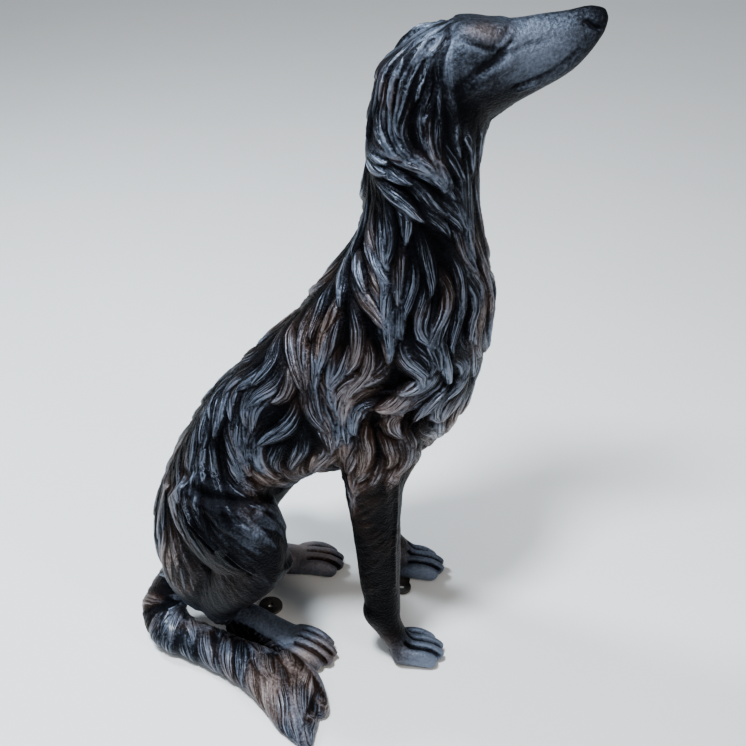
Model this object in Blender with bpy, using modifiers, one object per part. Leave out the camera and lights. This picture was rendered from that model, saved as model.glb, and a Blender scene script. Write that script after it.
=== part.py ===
"""A cast aluminium garden statue: a long haired sighthound that sits with its muzzle raised.

The whole figure is one casting. Its body, head, ears, limbs and tail are lofts between rings, fused into one
skin, carved with locks of coat, thinned to a light faceted mesh and cut flat where it stands on the ground.
Two bolt-down lugs stand out of its feet. Everything but the lugs is laid out in shares of the statue's
height, with X towards the dog's chest, Y towards its left side and Z up, and its origin is under the middle
of its box.
"""

import itertools
import math

import bmesh
import bpy
import numpy as np
from mathutils import Matrix, Vector
from mathutils.bvhtree import BVHTree

# Driving sizes, in metres
STATUE_HEIGHT = 1.0          # the ground to the highest point of the figure
LUG_THICKNESS = 0.005
HIND_LUG_RADIUS = 0.020
FRONT_LUG_RADIUS = 0.016
BOLT_HOLE_RADIUS = 0.0045    # clears an 8 mm ground bolt
SINK = 0.004                 # how far soles and lugs reach below the ground before they are cut flat

# Fineness of the skin before and after carving, in shares of the height
SKIN_VOXEL = 0.004
CAST_VOXEL = 0.0038
CAST_RATIO = 0.038           # the share of its triangles that the solid keeps
RING_SIDES = 24
RING_STEPS = 5               # rings from one station of a loft to the next

# The coat
ROOT_GAP_ALONG = 0.38        # how near the roots of two locks come, in shares of their length
ROOT_GAP_ASIDE = 1.00        # and of their half width
BARE_RELIEF = 0.0012         # where the relief is less than this, no lock takes root
SWAY_LENGTH = 0.15           # from one swing of the coat to the next
LOCK_STRAY = 9               # degrees that a lock may leave the flow
LOCK_STEPS = 9
LOCK_STATIONS = (0.0, 0.15, 0.45, 0.75, 0.92, 1.0)
LOCK_WIDTHS = (0.40, 0.75, 1.0, 0.75, 0.36, 0.04)
LOCK_HEIGHTS = (0.25, 0.45, 0.80, 1.0, 0.95, 0.60)
LOCK_FLATNESS = 2.6          # over 2 for a flat lock with steep sides
LOCK_LEAN = 0.5              # how much one side of a lock may stand above its middle
TIP_RANK = 0.45              # how much a lock's tip is ahead of the locks that it meets
COAT_SEED = 11

CAST_COLOUR = (0.055, 0.045, 0.042, 1.0)
CAST_METALLIC = 0.85
CAST_ROUGHNESS = 0.42

RIGHT, LEFT = -1, 1
UP = np.array([0.0, 0.0, 1.0])


def clear_scene():
    for item in list(bpy.data.objects):
        bpy.data.objects.remove(item, do_unlink=True)


# Lofts

def catmull_rom(before, start, end, after, share):
    """A point between start and end on the smooth curve through all four."""
    return 0.5 * (
        2 * start
        + (end - before) * share
        + (2 * before - 5 * start + 4 * end - after) * share ** 2
        + (3 * start - before - 3 * end + after) * share ** 3
    )


def smooth_stations(stations, steps=RING_STEPS):
    """The stations, with more on the smooth curve between each two."""
    stations = np.array(stations, float)
    padded = np.vstack([stations[0], stations, stations[-1]])
    rows = [
        catmull_rom(*padded[i:i + 4], step / steps)
        for i in range(len(stations) - 1)
        for step in range(steps)
    ]
    return np.array(rows + [stations[-1]])


def unit(vector):
    return vector / np.linalg.norm(vector)


def add_loft(clay, rings):
    """Skins rings of (centre, half axis u, half axis v, keel) and closes both ends with a pole.
    A keel over 0 makes a ring broader towards its u side, and one under 0 towards the other."""
    angles = np.arange(RING_SIDES) * 2 * math.pi / RING_SIDES
    loops = []
    for centre, u, v, keel in rings:
        across = np.sin(angles) * (1 + keel * np.cos(angles))
        points = np.outer(np.cos(angles), u) + np.outer(across, v) + centre
        loops.append([clay.verts.new(point) for point in points])
    for lower, upper in zip(loops, loops[1:]):
        for i in range(RING_SIDES):
            j = (i + 1) % RING_SIDES
            clay.faces.new((lower[i], lower[j], upper[j], upper[i]))
    for loop, ring, beyond in ((loops[0], rings[0], rings[1]), (loops[-1], rings[-1], rings[-2])):
        bulge = 0.5 * min(np.linalg.norm(ring[1]), np.linalg.norm(ring[2]))
        pole = clay.verts.new(ring[0] + unit(ring[0] - beyond[0]) * bulge)
        for i in range(RING_SIDES):
            clay.faces.new((loop[i], loop[(i + 1) % RING_SIDES], pole))


def profile_loft(clay, stations):
    """A form on the middle plane. A station is (upper x, upper z, lower x, lower z, half width, keel)."""
    rings = []
    for ux, uz, lx, lz, half_width, keel in smooth_stations(stations):
        upper, lower = np.array([ux, 0, uz]), np.array([lx, 0, lz])
        rings.append(((upper + lower) / 2, (upper - lower) / 2, np.array([0, half_width, 0]), keel))
    add_loft(clay, rings)


def limb_loft(clay, stations, side=1, across=(0, 1, 0)):
    """A form along a path. A station is (x, y, z, half depth, half width). The width lies along `across`,
    squared to the path, or level when there is none. A side of -1 mirrors the path to the dog's right."""
    rows = smooth_stations(stations)
    rows[:, 1] *= side
    rings = []
    tangents = np.gradient(rows[:, :3], axis=0)
    for centre, tangent, depth, width in zip(rows[:, :3], tangents, rows[:, 3], rows[:, 4]):
        tangent = unit(tangent)
        wide = np.cross(UP, tangent) if across is None else np.array(across, float)
        wide = unit(wide - tangent * (wide @ tangent))
        rings.append((centre, np.cross(tangent, wide) * depth, wide * width, 0.0))
    add_loft(clay, rings)


# The figure, in shares of its height

TRUNK = (
    # back x, z     front x, z     half width, keel
    (-0.325, 0.085, -0.255, 0.060, 0.040, 0.0),
    (-0.347, 0.165, -0.205, 0.115, 0.082, 0.1),
    (-0.342, 0.243, -0.170, 0.190, 0.094, 0.1),
    (-0.310, 0.326, -0.135, 0.265, 0.094, 0.1),
    (-0.256, 0.423, -0.085, 0.326, 0.095, 0.0),
    (-0.185, 0.508, -0.018, 0.346, 0.100, -0.1),
    (-0.112, 0.582, 0.052, 0.350, 0.108, -0.1),
    (-0.063, 0.643, 0.119, 0.411, 0.112, 0.0),
    (-0.032, 0.692, 0.151, 0.502, 0.104, 0.0),
    (-0.017, 0.740, 0.166, 0.600, 0.088, 0.1),
    (-0.013, 0.790, 0.155, 0.672, 0.074, 0.1),
    (-0.010, 0.845, 0.138, 0.750, 0.066, 0.0),
    (-0.004, 0.890, 0.136, 0.815, 0.060, 0.0),
    (0.008, 0.932, 0.145, 0.860, 0.055, 0.0),
    (0.040, 0.956, 0.150, 0.885, 0.045, 0.0),
)

HEAD = (
    # top x, z      jaw x, z       half width, keel
    (0.022, 0.938, 0.060, 0.880, 0.034, 0.0),
    (0.044, 0.961, 0.110, 0.862, 0.046, 0.1),
    (0.078, 0.979, 0.142, 0.862, 0.049, 0.2),
    (0.112, 0.986, 0.165, 0.876, 0.045, 0.2),
    (0.140, 0.984, 0.186, 0.889, 0.036, 0.2),
    (0.168, 0.985, 0.206, 0.901, 0.029, 0.1),
    (0.198, 0.990, 0.226, 0.913, 0.025, 0.0),
    (0.226, 0.994, 0.244, 0.927, 0.022, 0.0),
    (0.252, 1.000, 0.261, 0.948, 0.018, 0.0),
    (0.271, 0.997, 0.272, 0.967, 0.013, 0.0),
)

EAR = (
    # x, y, z, half depth, half thickness
    (0.086, 0.022, 0.966, 0.012, 0.008),
    (0.064, 0.035, 0.948, 0.024, 0.008),
    (0.045, 0.044, 0.922, 0.026, 0.008),
    (0.038, 0.051, 0.892, 0.020, 0.007),
    (0.038, 0.055, 0.862, 0.009, 0.004),
)

FORELEG = (
    # x, y, z, half depth, half width
    (0.040, 0.060, 0.520, 0.076, 0.040),
    (0.016, 0.078, 0.430, 0.060, 0.042),
    (0.002, 0.086, 0.360, 0.046, 0.036),
    (0.004, 0.088, 0.299, 0.0385, 0.030),
    (0.008, 0.090, 0.227, 0.0345, 0.026),
    (0.011, 0.092, 0.160, 0.031, 0.023),
    (0.0145, 0.094, 0.120, 0.0285, 0.022),
    (0.014, 0.096, 0.096, 0.030, 0.023),
    (0.024, 0.099, 0.070, 0.0225, 0.021),
    (0.037, 0.102, 0.045, 0.020, 0.022),
    (0.050, 0.104, 0.026, 0.020, 0.025),
)

THIGH = (
    (-0.262, 0.048, 0.325, 0.055, 0.045),
    (-0.228, 0.078, 0.292, 0.076, 0.052),
    (-0.188, 0.102, 0.262, 0.078, 0.050),
    (-0.154, 0.112, 0.240, 0.052, 0.036),
)

SHIN = (
    (-0.158, 0.112, 0.245, 0.049, 0.034),
    (-0.193, 0.105, 0.190, 0.049, 0.040),
    (-0.230, 0.086, 0.135, 0.042, 0.038),
    (-0.243, 0.062, 0.085, 0.034, 0.032),
    (-0.246, 0.046, 0.045, 0.026, 0.025),
)

BUTTOCK = (
    (-0.258, 0.048, 0.300, 0.055, 0.040),
    (-0.270, 0.060, 0.230, 0.058, 0.046),
    (-0.270, 0.062, 0.160, 0.056, 0.046),
    (-0.266, 0.050, 0.110, 0.049, 0.040),
    (-0.272, 0.038, 0.075, 0.041, 0.032),
)

HIND_FOOT = (
    # reach from the heel, height, half height, half width
    (0.000, 0.034, 0.034, 0.024),
    (0.032, 0.031, 0.034, 0.028),
    (0.072, 0.024, 0.027, 0.029),
    (0.120, 0.018, 0.022, 0.028),
)

TAIL = (
    (-0.285, 0.000, 0.125, 0.032, 0.030),
    (-0.312, -0.015, 0.090, 0.036, 0.036),
    (-0.343, -0.040, 0.052, 0.034, 0.036),
    (-0.327, -0.070, 0.030, 0.031, 0.036),
    (-0.284, -0.091, 0.024, 0.028, 0.033),
    (-0.235, -0.117, 0.023, 0.028, 0.033),
    (-0.188, -0.144, 0.023, 0.029, 0.038),
    (-0.151, -0.171, 0.022, 0.029, 0.043),
    (-0.126, -0.205, 0.018, 0.026, 0.042),
    (-0.111, -0.243, 0.012, 0.019, 0.030),
    (-0.097, -0.277, 0.004, 0.008, 0.008),
)

TAIL_LOBE = (
    (-0.150, -0.140, 0.026, 0.024, 0.030),
    (-0.108, -0.170, 0.022, 0.024, 0.026),
    (-0.086, -0.202, 0.014, 0.018, 0.018),
    (-0.076, -0.224, 0.008, 0.010, 0.009),
)

PAW = (
    # share of the paw's length, height, half height, share of its half width
    (0.00, 0.017, 0.021, 0.78),
    (0.25, 0.020, 0.023, 0.92),
    (0.55, 0.017, 0.021, 1.00),
    (0.75, 0.011, 0.015, 0.92),
)

TOE = (
    # distance behind the toe's tip, height, radius
    (0.064, 0.025, 0.0105),
    (0.046, 0.027, 0.0125),
    (0.028, 0.024, 0.0135),
    (0.013, 0.015, 0.0130),
    (0.006, 0.009, 0.0110),
)

# Each toe's sideways share of the paw's half width, and how far it stays behind the longest
TOES = ((-0.78, 0.012), (-0.27, 0.0), (0.27, 0.0), (0.78, 0.012))


# The coat by place. Headings are in degrees in the side view, from forward towards up. Lengths are shares of
# the height. The curl is how far a lock swings to either side of its heading, in degrees.
COAT = (
    # x, z       heading, length, half width, relief, curl
    (0.180, 0.940, -60, 0.05, 0.010, 0.000, 0),
    (0.110, 0.970, -60, 0.05, 0.010, 0.000, 0),
    (0.115, 0.900, -60, 0.05, 0.008, 0.000, 0),
    (0.095, 0.935, -60, 0.05, 0.008, 0.000, 0),
    (0.070, 0.966, 205, 0.07, 0.005, 0.0025, 5),
    (0.040, 0.950, 222, 0.08, 0.006, 0.0035, 8),
    (0.055, 0.925, -110, 0.08, 0.007, 0.0035, 10),
    (0.030, 0.900, -95, 0.08, 0.009, 0.005, 16),
    (0.050, 0.865, -80, 0.07, 0.010, 0.005, 22),
    (0.000, 0.880, -70, 0.075, 0.012, 0.007, 30),
    (0.010, 0.820, -38, 0.080, 0.014, 0.009, 38),
    (0.060, 0.820, -50, 0.085, 0.013, 0.008, 30),
    (0.110, 0.830, -68, 0.12, 0.009, 0.005, 8),
    (0.130, 0.740, -78, 0.13, 0.010, 0.005, 8),
    (0.060, 0.750, -55, 0.10, 0.014, 0.009, 30),
    (0.000, 0.760, -60, 0.09, 0.014, 0.010, 34),
    (0.020, 0.680, -75, 0.11, 0.018, 0.010, 34),
    (0.120, 0.640, -85, 0.11, 0.018, 0.009, 34),
    (-0.040, 0.610, -100, 0.10, 0.015, 0.010, 32),
    (0.060, 0.600, -95, 0.11, 0.022, 0.015, 60),
    (0.100, 0.530, -115, 0.10, 0.022, 0.015, 60),
    (0.030, 0.510, -115, 0.11, 0.023, 0.015, 60),
    (0.060, 0.430, -80, 0.08, 0.019, 0.010, 45),
    (-0.040, 0.470, -105, 0.11, 0.020, 0.013, 42),
    (-0.120, 0.520, -112, 0.10, 0.018, 0.009, 34),
    (-0.110, 0.420, -100, 0.10, 0.018, 0.010, 38),
    (-0.060, 0.360, -45, 0.09, 0.013, 0.008, 28),
    (-0.200, 0.430, -112, 0.10, 0.016, 0.008, 32),
    (-0.280, 0.350, -105, 0.10, 0.013, 0.007, 22),
    (-0.200, 0.380, -95, 0.09, 0.013, 0.008, 24),
    (-0.140, 0.362, -75, 0.07, 0.012, 0.007, 26),
    (-0.265, 0.345, -75, 0.07, 0.009, 0.003, 15),
    (-0.230, 0.342, -60, 0.06, 0.006, 0.001, 10),
    (-0.195, 0.342, -40, 0.06, 0.006, 0.001, 10),
    (-0.155, 0.335, -40, 0.06, 0.006, 0.001, 10),
    (-0.335, 0.220, -88, 0.10, 0.012, 0.006, 18),
    (-0.300, 0.290, -70, 0.10, 0.010, 0.005, 14),
    (-0.300, 0.180, -80, 0.08, 0.010, 0.003, 15),
    (-0.250, 0.290, -55, 0.06, 0.005, 0.0016, 8),
    (-0.205, 0.300, -40, 0.06, 0.005, 0.001, 5),
    (-0.165, 0.300, -25, 0.06, 0.005, 0.000, 5),
    (-0.140, 0.250, -80, 0.06, 0.005, 0.001, 5),
    (-0.190, 0.240, -50, 0.06, 0.005, 0.0014, 10),
    (-0.250, 0.210, -65, 0.06, 0.005, 0.0014, 12),
    (-0.200, 0.160, -60, 0.06, 0.005, 0.0016, 12),
    (-0.280, 0.110, -75, 0.06, 0.006, 0.0014, 12),
    (-0.220, 0.090, -50, 0.05, 0.005, 0.0014, 8),
    (-0.020, 0.410, -120, 0.06, 0.009, 0.005, 15),
    (0.000, 0.350, -150, 0.04, 0.005, 0.0014, 5),
    (-0.020, 0.270, -150, 0.04, 0.005, 0.0018, 5),
    (0.005, 0.240, -150, 0.04, 0.005, 0.0014, 5),
    (-0.010, 0.170, -150, 0.04, 0.005, 0.0016, 5),
    (0.045, 0.330, -95, 0.05, 0.008, 0.000, 0),
    (0.040, 0.200, -95, 0.05, 0.008, 0.000, 0),
    (0.010, 0.120, -95, 0.04, 0.008, 0.000, 0),
    (0.040, 0.080, -95, 0.04, 0.008, 0.000, 0),
    (0.070, 0.020, -30, 0.04, 0.008, 0.000, 0),
    (-0.180, 0.040, -10, 0.04, 0.009, 0.000, 0),
    (-0.080, 0.020, -10, 0.04, 0.009, 0.000, 0),
)
TAIL_COAT = (0.110, 0.018, 0.0034, 10)   # length, half width, relief, curl
TAIL_SWIRL = (68, 50, 8)                 # degrees that its locks wrap round it, at its root, middle and tip
TAIL_REACH = 0.052                       # how near its middle line the tail's own coat holds


# Strokes modelled on both sides of the dog: relief, half width, and (x, z) points
STROKES = (
    # brow and eye
    (0.0040, 0.016, ((0.102, 0.979), (0.120, 0.977), (0.138, 0.975), (0.150, 0.977))),
    (-0.0026, 0.005, ((0.106, 0.970), (0.123, 0.964), (0.138, 0.961), (0.149, 0.966), (0.157, 0.976))),
    (-0.0018, 0.018, ((0.100, 0.950), (0.122, 0.946), (0.142, 0.948))),
    (-0.0022, 0.004, ((0.146, 0.956), (0.154, 0.961), (0.162, 0.966))),
    (0.0018, 0.004, ((0.143, 0.962), (0.150, 0.965), (0.157, 0.970))),
    # muzzle
    (-0.0016, 0.005, ((0.162, 0.955), (0.176, 0.960), (0.196, 0.964))),
    (-0.0024, 0.008, ((0.100, 0.912), (0.118, 0.927), (0.138, 0.939), (0.157, 0.951))),
    (0.0026, 0.010, ((0.103, 0.900), (0.122, 0.915), (0.144, 0.928), (0.163, 0.942))),
    (-0.0020, 0.005, ((0.166, 0.912), (0.184, 0.917), (0.203, 0.925), (0.222, 0.937), (0.240, 0.953))),
    (0.0035, 0.005, ((0.172, 0.906), (0.184, 0.908), (0.197, 0.914))),
    (-0.0045, 0.004, ((0.247, 0.986), (0.253, 0.980), (0.261, 0.977))),
    (-0.0022, 0.003, ((0.245, 0.994), (0.243, 0.984), (0.247, 0.974))),
    # front edge of the ear
    (-0.0036, 0.006, ((0.092, 0.979), (0.082, 0.964), (0.077, 0.945), (0.074, 0.920), (0.062, 0.888))),
    (0.0020, 0.005, ((0.084, 0.976), (0.072, 0.962), (0.068, 0.943), (0.066, 0.918), (0.052, 0.884))),
    # fold over the thigh, its crown and its cuts
    (-0.0042, 0.011, ((-0.275, 0.349), (-0.240, 0.343), (-0.197, 0.341), (-0.159, 0.337), (-0.138, 0.322))),
    (0.0030, 0.009, ((-0.262, 0.330), (-0.230, 0.326), (-0.192, 0.325), (-0.160, 0.319))),
    (0.0050, 0.016, ((-0.205, 0.312), (-0.170, 0.304), (-0.146, 0.282), (-0.136, 0.250))),
    (-0.0045, 0.004, ((-0.268, 0.298), (-0.251, 0.283), (-0.231, 0.268))),
    (0.0040, 0.004, ((-0.264, 0.304), (-0.247, 0.289), (-0.226, 0.273))),
    (-0.0040, 0.004, ((-0.212, 0.262), (-0.194, 0.243), (-0.178, 0.228))),
    (0.0035, 0.004, ((-0.208, 0.268), (-0.190, 0.249), (-0.173, 0.233))),
    # front edge of the foreleg
    (0.0030, 0.005, ((0.034, 0.385), (0.034, 0.308), (0.032, 0.225), (0.036, 0.141), (0.050, 0.078))),
)
TOE_GROOVE = (-0.0050, 0.0042)    # relief and half width of the grooves between toes

# The paws: heel (x, y), heading in degrees
FORE_PAWS = ((0.034, -0.102, 0), (0.045, 0.089, 0))
HIND_FEET = ((-0.232, -0.046, -23), (-0.237, 0.098, 0))
HIND_PAW_REACH = 0.106       # from a hind foot's heel to its paw
PAW_LENGTH = 0.080
PAW_HALF_WIDTH = 0.032


def ground_frame(spot, heading):
    """A function that places (reach, aside, height) from a spot on the ground along a heading in degrees."""
    forward = np.array([math.cos(math.radians(heading)), math.sin(math.radians(heading)), 0])
    sideways = np.cross(UP, forward)
    start = np.array([*spot, 0.0])
    return lambda reach, aside, height: start + forward * reach + sideways * aside + UP * height


def paw(clay, heel, heading):
    """A paw on the ground from its heel along its heading, with four toes."""
    place = ground_frame(heel, heading)
    pad = [
        (*place(share * PAW_LENGTH, 0, height), half_height, wide * PAW_HALF_WIDTH)
        for share, height, half_height, wide in PAW
    ]
    limb_loft(clay, pad, across=None)
    for aside, behind in TOES:
        toe = [
            (*place(PAW_LENGTH - behind - back, aside * PAW_HALF_WIDTH * 0.95, height), radius, radius * 0.68)
            for back, height, radius in TOE
        ]
        limb_loft(clay, toe, across=None)


def foreleg(clay, side, lean, step):
    """A foreleg from its shoulder to its paw. The lean shifts the leg, and the step shifts the foot."""
    rows = [
        (x + float(np.interp(z, (0.03, 0.12, 0.36, 0.52), (step, lean, lean, 0))), y, z, depth, width)
        for x, y, z, depth, width in FORELEG
    ]
    limb_loft(clay, rows, side)


def hind_leg(clay, side):
    for form in (THIGH, SHIN, BUTTOCK):
        limb_loft(clay, form, side)


def hind_foot(clay, heel, heading):
    """The long foot of a folded hind leg, flat on the ground from its heel."""
    place = ground_frame(heel, heading)
    rows = [
        (*place(reach, 0, height), half_height, half_width)
        for reach, height, half_height, half_width in HIND_FOOT
    ]
    limb_loft(clay, rows, across=None)
    paw(clay, place(HIND_PAW_REACH, 0, 0)[:2], heading)


def model_figure():
    """The loose forms of the dog, in shares of its height."""
    clay = bmesh.new()
    profile_loft(clay, TRUNK)
    profile_loft(clay, HEAD)
    for side in (RIGHT, LEFT):
        limb_loft(clay, EAR, side)
        hind_leg(clay, side)
    foreleg(clay, RIGHT, 0.0, 0.0)
    foreleg(clay, LEFT, -0.007, 0.010)
    for x, y, heading in FORE_PAWS:
        paw(clay, (x, y), heading)
    for x, y, heading in HIND_FEET:
        hind_foot(clay, (x, y), heading)
    limb_loft(clay, TAIL, across=None)
    limb_loft(clay, TAIL_LOBE, across=None)
    bmesh.ops.recalc_face_normals(clay, faces=clay.faces)
    mesh = bpy.data.meshes.new("dog_forms")
    clay.to_mesh(mesh)
    clay.free()
    return mesh


def baked(mesh, set_modifiers):
    """A new mesh with an object's modifiers worked in."""
    worker = bpy.data.objects.new("worker", mesh)
    bpy.context.scene.collection.objects.link(worker)
    set_modifiers(worker.modifiers)
    graph = bpy.context.evaluated_depsgraph_get()
    result = bpy.data.meshes.new_from_object(worker.evaluated_get(graph))
    bpy.data.objects.remove(worker, do_unlink=True)
    return result


def fuse(modifiers):
    skin = modifiers.new("fuse", "REMESH")
    skin.mode = "VOXEL"
    skin.voxel_size = SKIN_VOXEL
    soften = modifiers.new("soften", "SMOOTH")
    soften.factor = 0.5
    soften.iterations = 5


def recast(modifiers):
    """A clean skin over the carving, thinned to few triangles."""
    skin = modifiers.new("recast", "REMESH")
    skin.mode = "VOXEL"
    skin.voxel_size = CAST_VOXEL
    thin = modifiers.new("thin", "DECIMATE")
    thin.ratio = CAST_RATIO
    thin.use_collapse_triangulate = True


def points_of(mesh):
    spots = np.empty(len(mesh.vertices) * 3)
    mesh.vertices.foreach_get("co", spots)
    normals = np.empty(len(mesh.vertices) * 3)
    mesh.vertex_normals.foreach_get("vector", normals)
    return spots.reshape(-1, 3), normals.reshape(-1, 3)


# The coat

def flat_on(directions, normals):
    """The directions laid along the surface."""
    flat = directions - normals * (directions * normals).sum(axis=1, keepdims=True)
    return flat / np.maximum(np.linalg.norm(flat, axis=1, keepdims=True), 1e-9)


def turned(directions, normals, angles):
    """The directions turned about the normals by angles in radians."""
    return directions * np.cos(angles)[:, None] + np.cross(normals, directions) * np.sin(angles)[:, None]


def sway_at(spots):
    """How far the coat swings at each spot, from about -1 to 1. It changes slowly from place to place."""
    x, y, z = spots.T * 2 * math.pi
    drift = np.sin((0.6 * z - 0.8 * x) / 0.26)
    broad = np.sin((0.6 * x + 0.8 * z + 0.3 * y) / SWAY_LENGTH + 1.3 * drift)
    return 0.75 * broad + 0.35 * np.sin((0.9 * x - 0.4 * z + y) / (0.5 * SWAY_LENGTH))


def squared_gaps(spots, marks):
    """The squared distance from each spot to each mark."""
    return (spots ** 2).sum(axis=1)[:, None] - 2 * spots @ marks.T + (marks ** 2).sum(axis=1)


def coat_at(spots, normals):
    """The coat's flow along the surface at each spot, and its (length, half width, relief, curl)."""
    table = np.array(COAT)
    side_view = spots[:, [0, 2]]
    share = 1 / (squared_gaps(side_view, table[:, :2]) + 0.0006) ** 2
    share /= share.sum(axis=1, keepdims=True)
    heading = np.radians(table[:, 2])
    away = 0.6 * np.clip(spots[:, 1] / 0.03, -1, 1) * np.clip(normals @ (-0.7, 0, 0.7), 0, 1)
    flow = np.stack([share @ np.cos(heading), away, share @ np.sin(heading)], axis=1)
    sizes = share @ table[:, 3:]
    middle = smooth_stations(TAIL)[:, :3]
    gap = squared_gaps(spots, middle)
    nearest = gap.argmin(axis=1)
    on_tail = gap.min(axis=1) < TAIL_REACH ** 2
    along = np.gradient(middle, axis=0)[nearest]
    swirl = np.radians(np.interp(nearest / (len(middle) - 1), (0.2, 0.6, 1), TAIL_SWIRL))
    wrapped = turned(flat_on(along, normals), normals, -swirl)
    flow = np.where(on_tail[:, None], wrapped, flat_on(flow, normals))
    sizes = np.where(on_tail[:, None], np.array(TAIL_COAT), sizes)
    return turned(flow, normals, np.radians(sizes[:, 3]) * sway_at(spots)), sizes


def scatter_roots(spots, normals, flow, sizes, chance):
    """Indices of the spots where locks take root, spread evenly by the locks' own length and width."""
    aside = np.cross(normals, flow)
    cells = np.floor(spots / (ROOT_GAP_ALONG * sizes[:, 0].max())).astype(int)
    held = {}
    for i in chance.permutation(np.flatnonzero(sizes[:, 2] > BARE_RELIEF)):
        block = itertools.product(*((cell - 1, cell, cell + 1) for cell in cells[i].tolist()))
        near = [j for cell in block for j in held.get(cell, ())]
        gap = spots[near] - spots[i]
        along_share = gap @ flow[i] / (ROOT_GAP_ALONG * sizes[i, 0])
        aside_share = gap @ aside[i] / (ROOT_GAP_ASIDE * sizes[i, 1])
        crowding = (along_share ** 2 + aside_share ** 2 < 1) & (normals[near] @ normals[i] > 0.3)
        if not crowding.any():
            held.setdefault(tuple(cells[i].tolist()), []).append(i)
    return np.array([i for cell in held.values() for i in cell])


def skin_tree(skin):
    return BVHTree.FromPolygons(points_of(skin)[0].tolist(), [tuple(face.vertices) for face in skin.polygons])


def trace_locks(skin, chance):
    """The locks as (points, normals, half widths, heights, leans): each starts at a root and follows the
    flow over the skin."""
    spots, normals = points_of(skin)
    tree = skin_tree(skin)
    flow, sizes = coat_at(spots, normals)
    roots = scatter_roots(spots, normals, flow, sizes, chance)
    here, facing, sizes = spots[roots], normals[roots], sizes[roots]
    stray = np.radians(chance.uniform(-1, 1, len(roots)) * LOCK_STRAY)
    hook = np.radians(chance.uniform(-1, 1, len(roots)) * sizes[:, 3])
    stretch = chance.uniform(0.75, 1.25, len(roots)) * sizes[:, 0] / (LOCK_STEPS - 1)
    heights = chance.uniform(0.75, 1.1, len(roots))
    leans = chance.uniform(-1, 1, len(roots)) * LOCK_LEAN
    path, sides = [here], [facing]
    for step in range(LOCK_STEPS - 1):
        flow, _ = coat_at(here, facing)
        onward = turned(flow, facing, stray + hook * (step / (LOCK_STEPS - 1)) ** 2)
        aim = here + onward * stretch[:, None]
        found = [tree.find_nearest(Vector(spot)) for spot in aim]
        here = np.array([spot for spot, _, _, _ in found])
        facing = np.array([normal for _, normal, _, _ in found])
        path.append(here)
        sides.append(facing)
    return np.stack(path, axis=1), np.stack(sides, axis=1), sizes[:, 1], heights, leans


def lock_place(spots, path, sides):
    """Each spot's share of the way along the path, its distance to the left of it, and how far off it is."""
    along, aside, gap = np.zeros(len(spots)), np.zeros(len(spots)), np.full(len(spots), 9.0)
    for i in range(len(path) - 1):
        run = path[i + 1] - path[i]
        share = np.clip((spots - path[i]) @ run / max(run @ run, 1e-12), 0, 1)
        offset = spots - path[i] - share[:, None] * run
        length = np.linalg.norm(offset, axis=1)
        nearer = length < gap
        gap = np.where(nearer, length, gap)
        along = np.where(nearer, (i + share) / (len(path) - 1), along)
        sideways = unit(np.cross(sides[i], run) + 1e-12)
        aside = np.where(nearer, offset @ sideways, aside)
    return along, aside, gap


def in_cells(spots, size=0.02):
    """A function that gives the indices of the spots in the cells, seen from the side, that a box touches."""
    cells = np.floor(spots[:, [0, 2]] / size).astype(int) + 1000
    keys = cells @ (10000, 1)
    order = np.argsort(keys)
    keys = keys[order]

    def touched(low, high):
        left, bottom = np.floor(low[[0, 2]] / size).astype(int) + 1000
        right, top = np.floor(high[[0, 2]] / size).astype(int) + 1000
        columns = 10000 * np.arange(left, right + 1)
        ends = [np.searchsorted(keys, (column + bottom, column + top + 1)) for column in columns]
        return np.concatenate([order[start:end] for start, end in ends])

    return touched


def lay_locks(spots, normals, locks):
    """Lays the locks over each other, tips foremost, and returns the lift at each spot from 0 to about 1."""
    lift, rank = np.zeros(len(spots)), np.zeros(len(spots))
    touched = in_cells(spots)
    for path, sides, half_width, height, lean in zip(*locks):
        low, high = path.min(axis=0) - half_width, path.max(axis=0) + half_width
        near = touched(low, high)
        near = near[((spots[near] > low) & (spots[near] < high)).all(axis=1)]
        along, aside, gap = lock_place(spots[near], path, sides)
        across = np.clip(aside / (half_width * np.interp(along, LOCK_STATIONS, LOCK_WIDTHS)), -1, 1)
        rise = (1 - np.abs(across) ** LOCK_FLATNESS) * np.interp(along, LOCK_STATIONS, LOCK_HEIGHTS)
        within = (gap < 1.5 * half_width) & (normals[near] @ sides[len(path) // 2] > 0)
        rise *= height * (1 + lean * across) * within
        ranked = rise + TIP_RANK * along * (rise > 0)
        wins = ranked > rank[near]
        won = near[wins]
        rank[won], lift[won] = ranked[wins], rise[wins]
    return lift


def stroke_paths(tree):
    """The strokes on both sides of the dog and between its toes: (relief, half width, points on the skin)."""
    for relief, half_width, outline in STROKES:
        for side in (RIGHT, LEFT):
            starts = [Vector((x, 0.3 * side, z)) for x, z in smooth_stations(outline, 8)]
            yield relief, half_width, cast_onto(tree, starts, Vector((0, -side, 0)))
    paws = [*FORE_PAWS]
    for x, y, heading in HIND_FEET:
        heel = ground_frame((x, y), heading)(HIND_PAW_REACH, 0, 0)
        paws.append((heel[0], heel[1], heading))
    for x, y, heading in paws:
        place = ground_frame((x, y), heading)
        for aside in (-0.5, 0, 0.5):
            reaches = np.linspace(0.22, 1.0, 16) * PAW_LENGTH
            starts = [Vector(place(reach, aside * PAW_HALF_WIDTH, 0.075)) for reach in reaches]
            yield *TOE_GROOVE, cast_onto(tree, starts, Vector((0, 0, -1)))


def cast_onto(tree, starts, along):
    """Where the rays meet the skin, or the skin's nearest spot to a ray's middle if it passes by."""
    hits = [tree.ray_cast(start, along, 0.3)[0] for start in starts]
    return np.array([hit or tree.find_nearest(start + along * 0.15)[0] for hit, start in zip(hits, starts)])


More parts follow.
